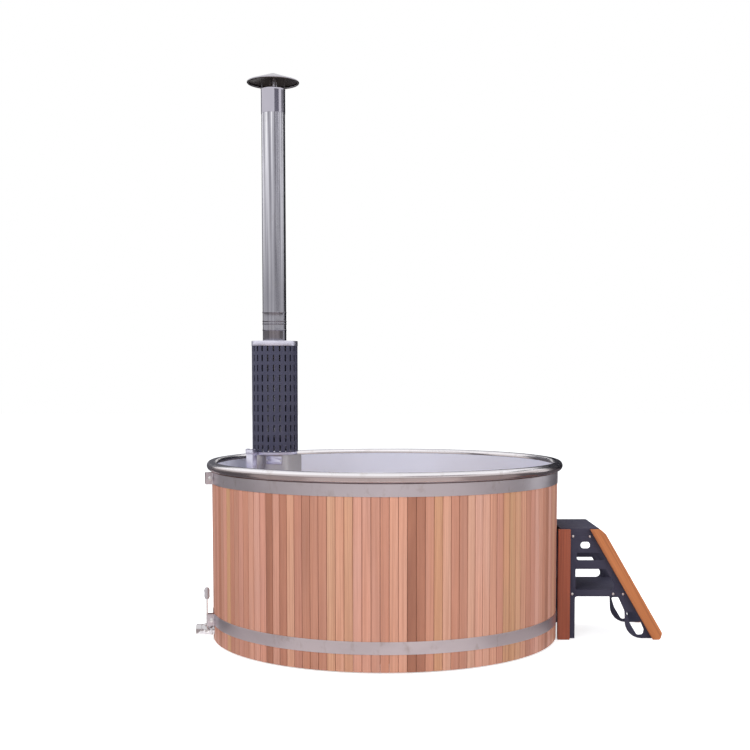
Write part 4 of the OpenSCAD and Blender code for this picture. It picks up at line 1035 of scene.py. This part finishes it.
def buildGuard():
    radius = guard["outer"] - guard["sheet"] / 2
    wide = 2 * math.pi * radius / guard["columns"]
    high, r = guard["pitch"], guard["slotWide"] / 2
    reach = guard["slotHigh"] / 2 - r
    slot = [(r * math.sin(a), reach + r * math.cos(a)) for a in np.linspace(-math.pi / 2, math.pi / 2, 7)]
    slot += [(-x, -z) for x, z in slot]
    # round the slot's end the cell has its side, a corner, three points of its end, a corner and its side
    shares = (-1, -1, -guard["endPoint"], 0, guard["endPoint"], 1, 1)
    border = [(wide / 2 * share, reach if i in (0, 6) else high / 2) for i, share in enumerate(shares)]
    border += [(-x, -z) for x, z in border]
    count = len(slot)
    vertices = [(x, 0.0, z) for x, z in slot] + [(x, 0.0, z) for x, z in border]
    faces = [(i, (i + 1) % count, count + (i + 1) % count, count + i) for i in range(count)]
    cell = makePiece("guardCell", vertices, faces, "guardPaint", tidy=False)
    drum = grow("heatGuard", "guard", {"Cell": cell, "Rows": guard["rows"], "Columns": guard["columns"],
                                       "Cell Width": wide, "Cell Height": high, "Radius": radius,
                                       "Weld": guard["weld"]}, "guardPaint")
    discard(cell)
    mesh = drum.data
    points = pointsOf(mesh)
    low, top = points[:, 2].min(), points[:, 2].max()
    heights = points[:, 2] + guard["firstRow"]
    heights[points[:, 2] < low + 1e-5] = guard["low"]
    heights[points[:, 2] > top - 1e-5] = guard["high"]
    spin = stoveDirection + guard["turned"] * 2 * math.pi / guard["columns"]
    x = points[:, 0] * math.cos(spin) - points[:, 1] * math.sin(spin) + flueAxis.x
    y = points[:, 0] * math.sin(spin) + points[:, 1] * math.cos(spin) + flueAxis.y
    mesh.vertices.foreach_set("co", np.stack([x, y, heights], axis=1).ravel())
    wall = drum.modifiers.new("wall", "SOLIDIFY")
    wall.thickness = guard["sheet"]
    wall.offset = 0.0
    work = bmesh.new()
    work.from_mesh(mesh)
    bmesh.ops.recalc_face_normals(work, faces=work.faces)
    work.to_mesh(mesh)
    work.free()
    settled(drum, "guardPaint", 40.0)
    standFor(drum, "heat_guard")
    buildGuardRings()


def buildGuardRings():
    bore, ring, sheet = guard["footBore"], guard["outer"] - guard["footIn"], guard["footSheet"]
    neck, top = flue["neckTop"], guard["low"] + guard["footRise"]
    foot = roundedPath([(bore, neck, 0.0), (ring, neck, 0.001), (ring, top, 0.0005),
                        (ring - sheet, top, 0.0005), (ring - sheet, neck + sheet, 0.001),
                        (bore, neck + sheet, 0.0)], steps=3)
    standFor(lathe("guardFoot", foot, "ringSteel", flueAxis, 128), "guard_base")
    bore, out = guard["headBore"], guard["outer"] + guard["headOut"]
    low, top, under, inside = guard["headLow"], guard["headTop"], guard["high"], out - guard["headSheet"]
    head = roundedPath([(out, low, 0.0005), (out, top, 0.0015), (bore, top, 0.0004), (bore, under, 0.0004),
                        (inside, under, 0.0004), (inside, low, 0.0004)], steps=3)
    standFor(lathe("guardHead", head, "ringSteel", flueAxis, 128), "guard_top")


buildFlue()
buildCap()
buildGuard()
print("chimney done")


softCopy("firebox", "firebox", "stoveSteel", 0.0012)
softCopy("soot_hatch", "sootHatch", "ringSteel", 0.0006)
softCopy("fuel_lid", "fuelLid", "stoveSteel", 0.0008)
softCopy("lid_handle", "lidHandle", "handleWood", 0.0015, boards=5)
softCopy("air_flap", "airFlap", "ringSteel", 0.0003)
softCopy("flap_bracket", "flapBracket", "ringSteel", 0.0004)
softCopy("grate", "grate", "grateIron", 0.0012)
for node, finish in {"firebox_legs": "stoveSteel", "hatch_screws": "boltSteel", "lid_hinge": "stoveSteel",
                     "lid_pin": "boltSteel", "drain_strainer": "boltSteel", "drain_elbow": "pipePlastic",
                     "valve_ball": "ballSteel", "valve_stem": "brassFinish"}.items():
    useFinish(node, finish)
softCopy("air_pipe", "airPipe", "ringSteel", 0.0005)
print("stove done")


softCopy("skids", "beams", "beamWood", 0.003, boards=21)
softCopy("floor_deck", "floorBoard", "deckBoard", 0.001, boards=22)
softCopy("bench_slats", "benchSlats", "benchWood", 0.003, boards=23)
softCopy("bench_supports", "benchSupports", "frameWood", 0.002, boards=24)
softCopy("fence_slats", "fenceSlats", "benchWood", 0.0025, boards=25, lengthAxis=(0, 0, 1))
softCopy("fence_rails", "fenceRails", "frameWood", 0.002, boards=26)
print("bench and fence done")


def buildDrain():
    turn = Matrix.Rotation(-math.pi / 2, 4, "Y")  # the lathe's Z runs outwards along -X
    side, height = drain["side"], drain["height"]
    mouth = drain["wall"] - drain["sunk"] - drain["bodyLength"]
    r, bore = drain["pipe"], drain["pipe"] - drain["pipeWall"]
    low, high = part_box("drain_pipe")
    standFor(lathe("drainPipe", tubeOutline(r, bore, 0.0, high.x - low.x), "valveSteel",
                   (high.x, side, height), 64, turn), "drain_pipe")
    end, step, lipBore = drain["tail"], drain["tail"] - drain["lip"], bore - drain["lip"]
    groove, half = drain["groove"], drain["grooveHalf"]
    tail = roundedPath([(r, 0.0, 0.0), (r, groove - half, 0.0008), (r - drain["grooveDeep"], groove, 0.0),
                        (r, groove + half, 0.0008), (r, end, 0.0014), (lipBore, end, 0.001),
                        (lipBore, step, 0.0005), (bore, step, 0.0), (bore, 0.0, 0.0)], steps=3)
    standFor(lathe("outletTail", tail, "valveSteel", (mouth, side, height), 96, turn), "outlet_tail")


buildDrain()
softCopy("valve_body", "valveBody", "valveSteel", 0.0010)
softCopy("valve_lever", "valveLever", "boltSteel", 0.0010)


grip = {"outline": [  # radius, height, rounding
    (0.0, 0.0, 0.0), (0.0105, 0.0, 0.002), (0.0158, 0.013, 0.006), (0.0148, 0.034, 0.02),
    (0.0160, 0.052, 0.006), (0.0100, 0.0655, 0.006), (0.0, 0.0655, 0.0)]}


def buildGrip():
    low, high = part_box("lever_grip")
    foot = ((low.x + high.x) / 2, (low.y + high.y) / 2, low.z)
    outline = roundedPath(grip["outline"], steps=6)
    standFor(lathe("leverGrip", outline, "gripPlastic", foot, 64), "lever_grip")


buildGrip()
print("drain done")


softCopy("stair_posts", "stepPosts", "postWood", 0.0025, steps=3, boards=31, lengthAxis=(0, 0, 1))
softCopy("stair_stringers", "stepStringers", "stringerWood", 0.0030, steps=3, boards=32)
softCopy("stair_plate_near", "stepPlateNear", "platePaint", 0.0004)
softCopy("stair_plate_far", "stepPlateFar", "platePaint", 0.0004)
softCopy("upper_tread", "upperTread", "platePaint", 0.0008)
softCopy("lower_tread", "lowerTread", "platePaint", 0.0008)

stepBolts = {"wide": 0.460, "middle": 0.050, "head": 0.008, "dome": 0.004, "under": 0.0004,
             "shank": 0.0037, "long": 0.0185,
             "nutAcross": 0.0130, "nutHigh": 0.0065, "nutAt": 0.0126,
             "rows": [(0.260, (1.077, 1.313, 1.370)), (0.593, (1.078, 1.176))]}  # height, places along X


def buildStepBolts():
    r, h, shank, long = (stepBolts[key] for key in ("head", "dome", "shank", "long"))
    ball = (r * r + h * h) / (2 * h)
    sweep = np.linspace(0, math.asin(r / ball), 7)[1:]
    dome = [(0.0, h)] + [(ball * math.sin(a), h - ball + ball * math.cos(a)) for a in sweep]
    outline = dome + [(r - stepBolts["under"], 0.0), (shank, 0.0), (shank, -long), (0.0, -long)]
    bolt = lathe("stepBolt", outline, "boltSteel", steps=32)
    nut = hexBolt("stepNut", "boltSteel", stepBolts["nutAcross"], stepBolts["nutHigh"], 0.0, 0.0)
    for name, node, copy, inwards in (("stepBolts", "stair_bolts", bolt, 0.0),
                                      ("stepNuts", "stair_nuts", nut, stepBolts["nutAt"])):
        spots = []
        for way in (-1, 1):
            face = stepBolts["middle"] + way * (stepBolts["wide"] / 2 - inwards)
            facing = tuple(Matrix.Rotation(-way * math.pi / 2, 4, "X").to_euler())
            spots += [((x, face, z), facing) for z, places in stepBolts["rows"] for x in places]
        standFor(grow(name, "place", {"Copy": copy, "Seed": 2}, "boltSteel", spots), node)
        discard(copy)


buildStepBolts()
print("steps done")
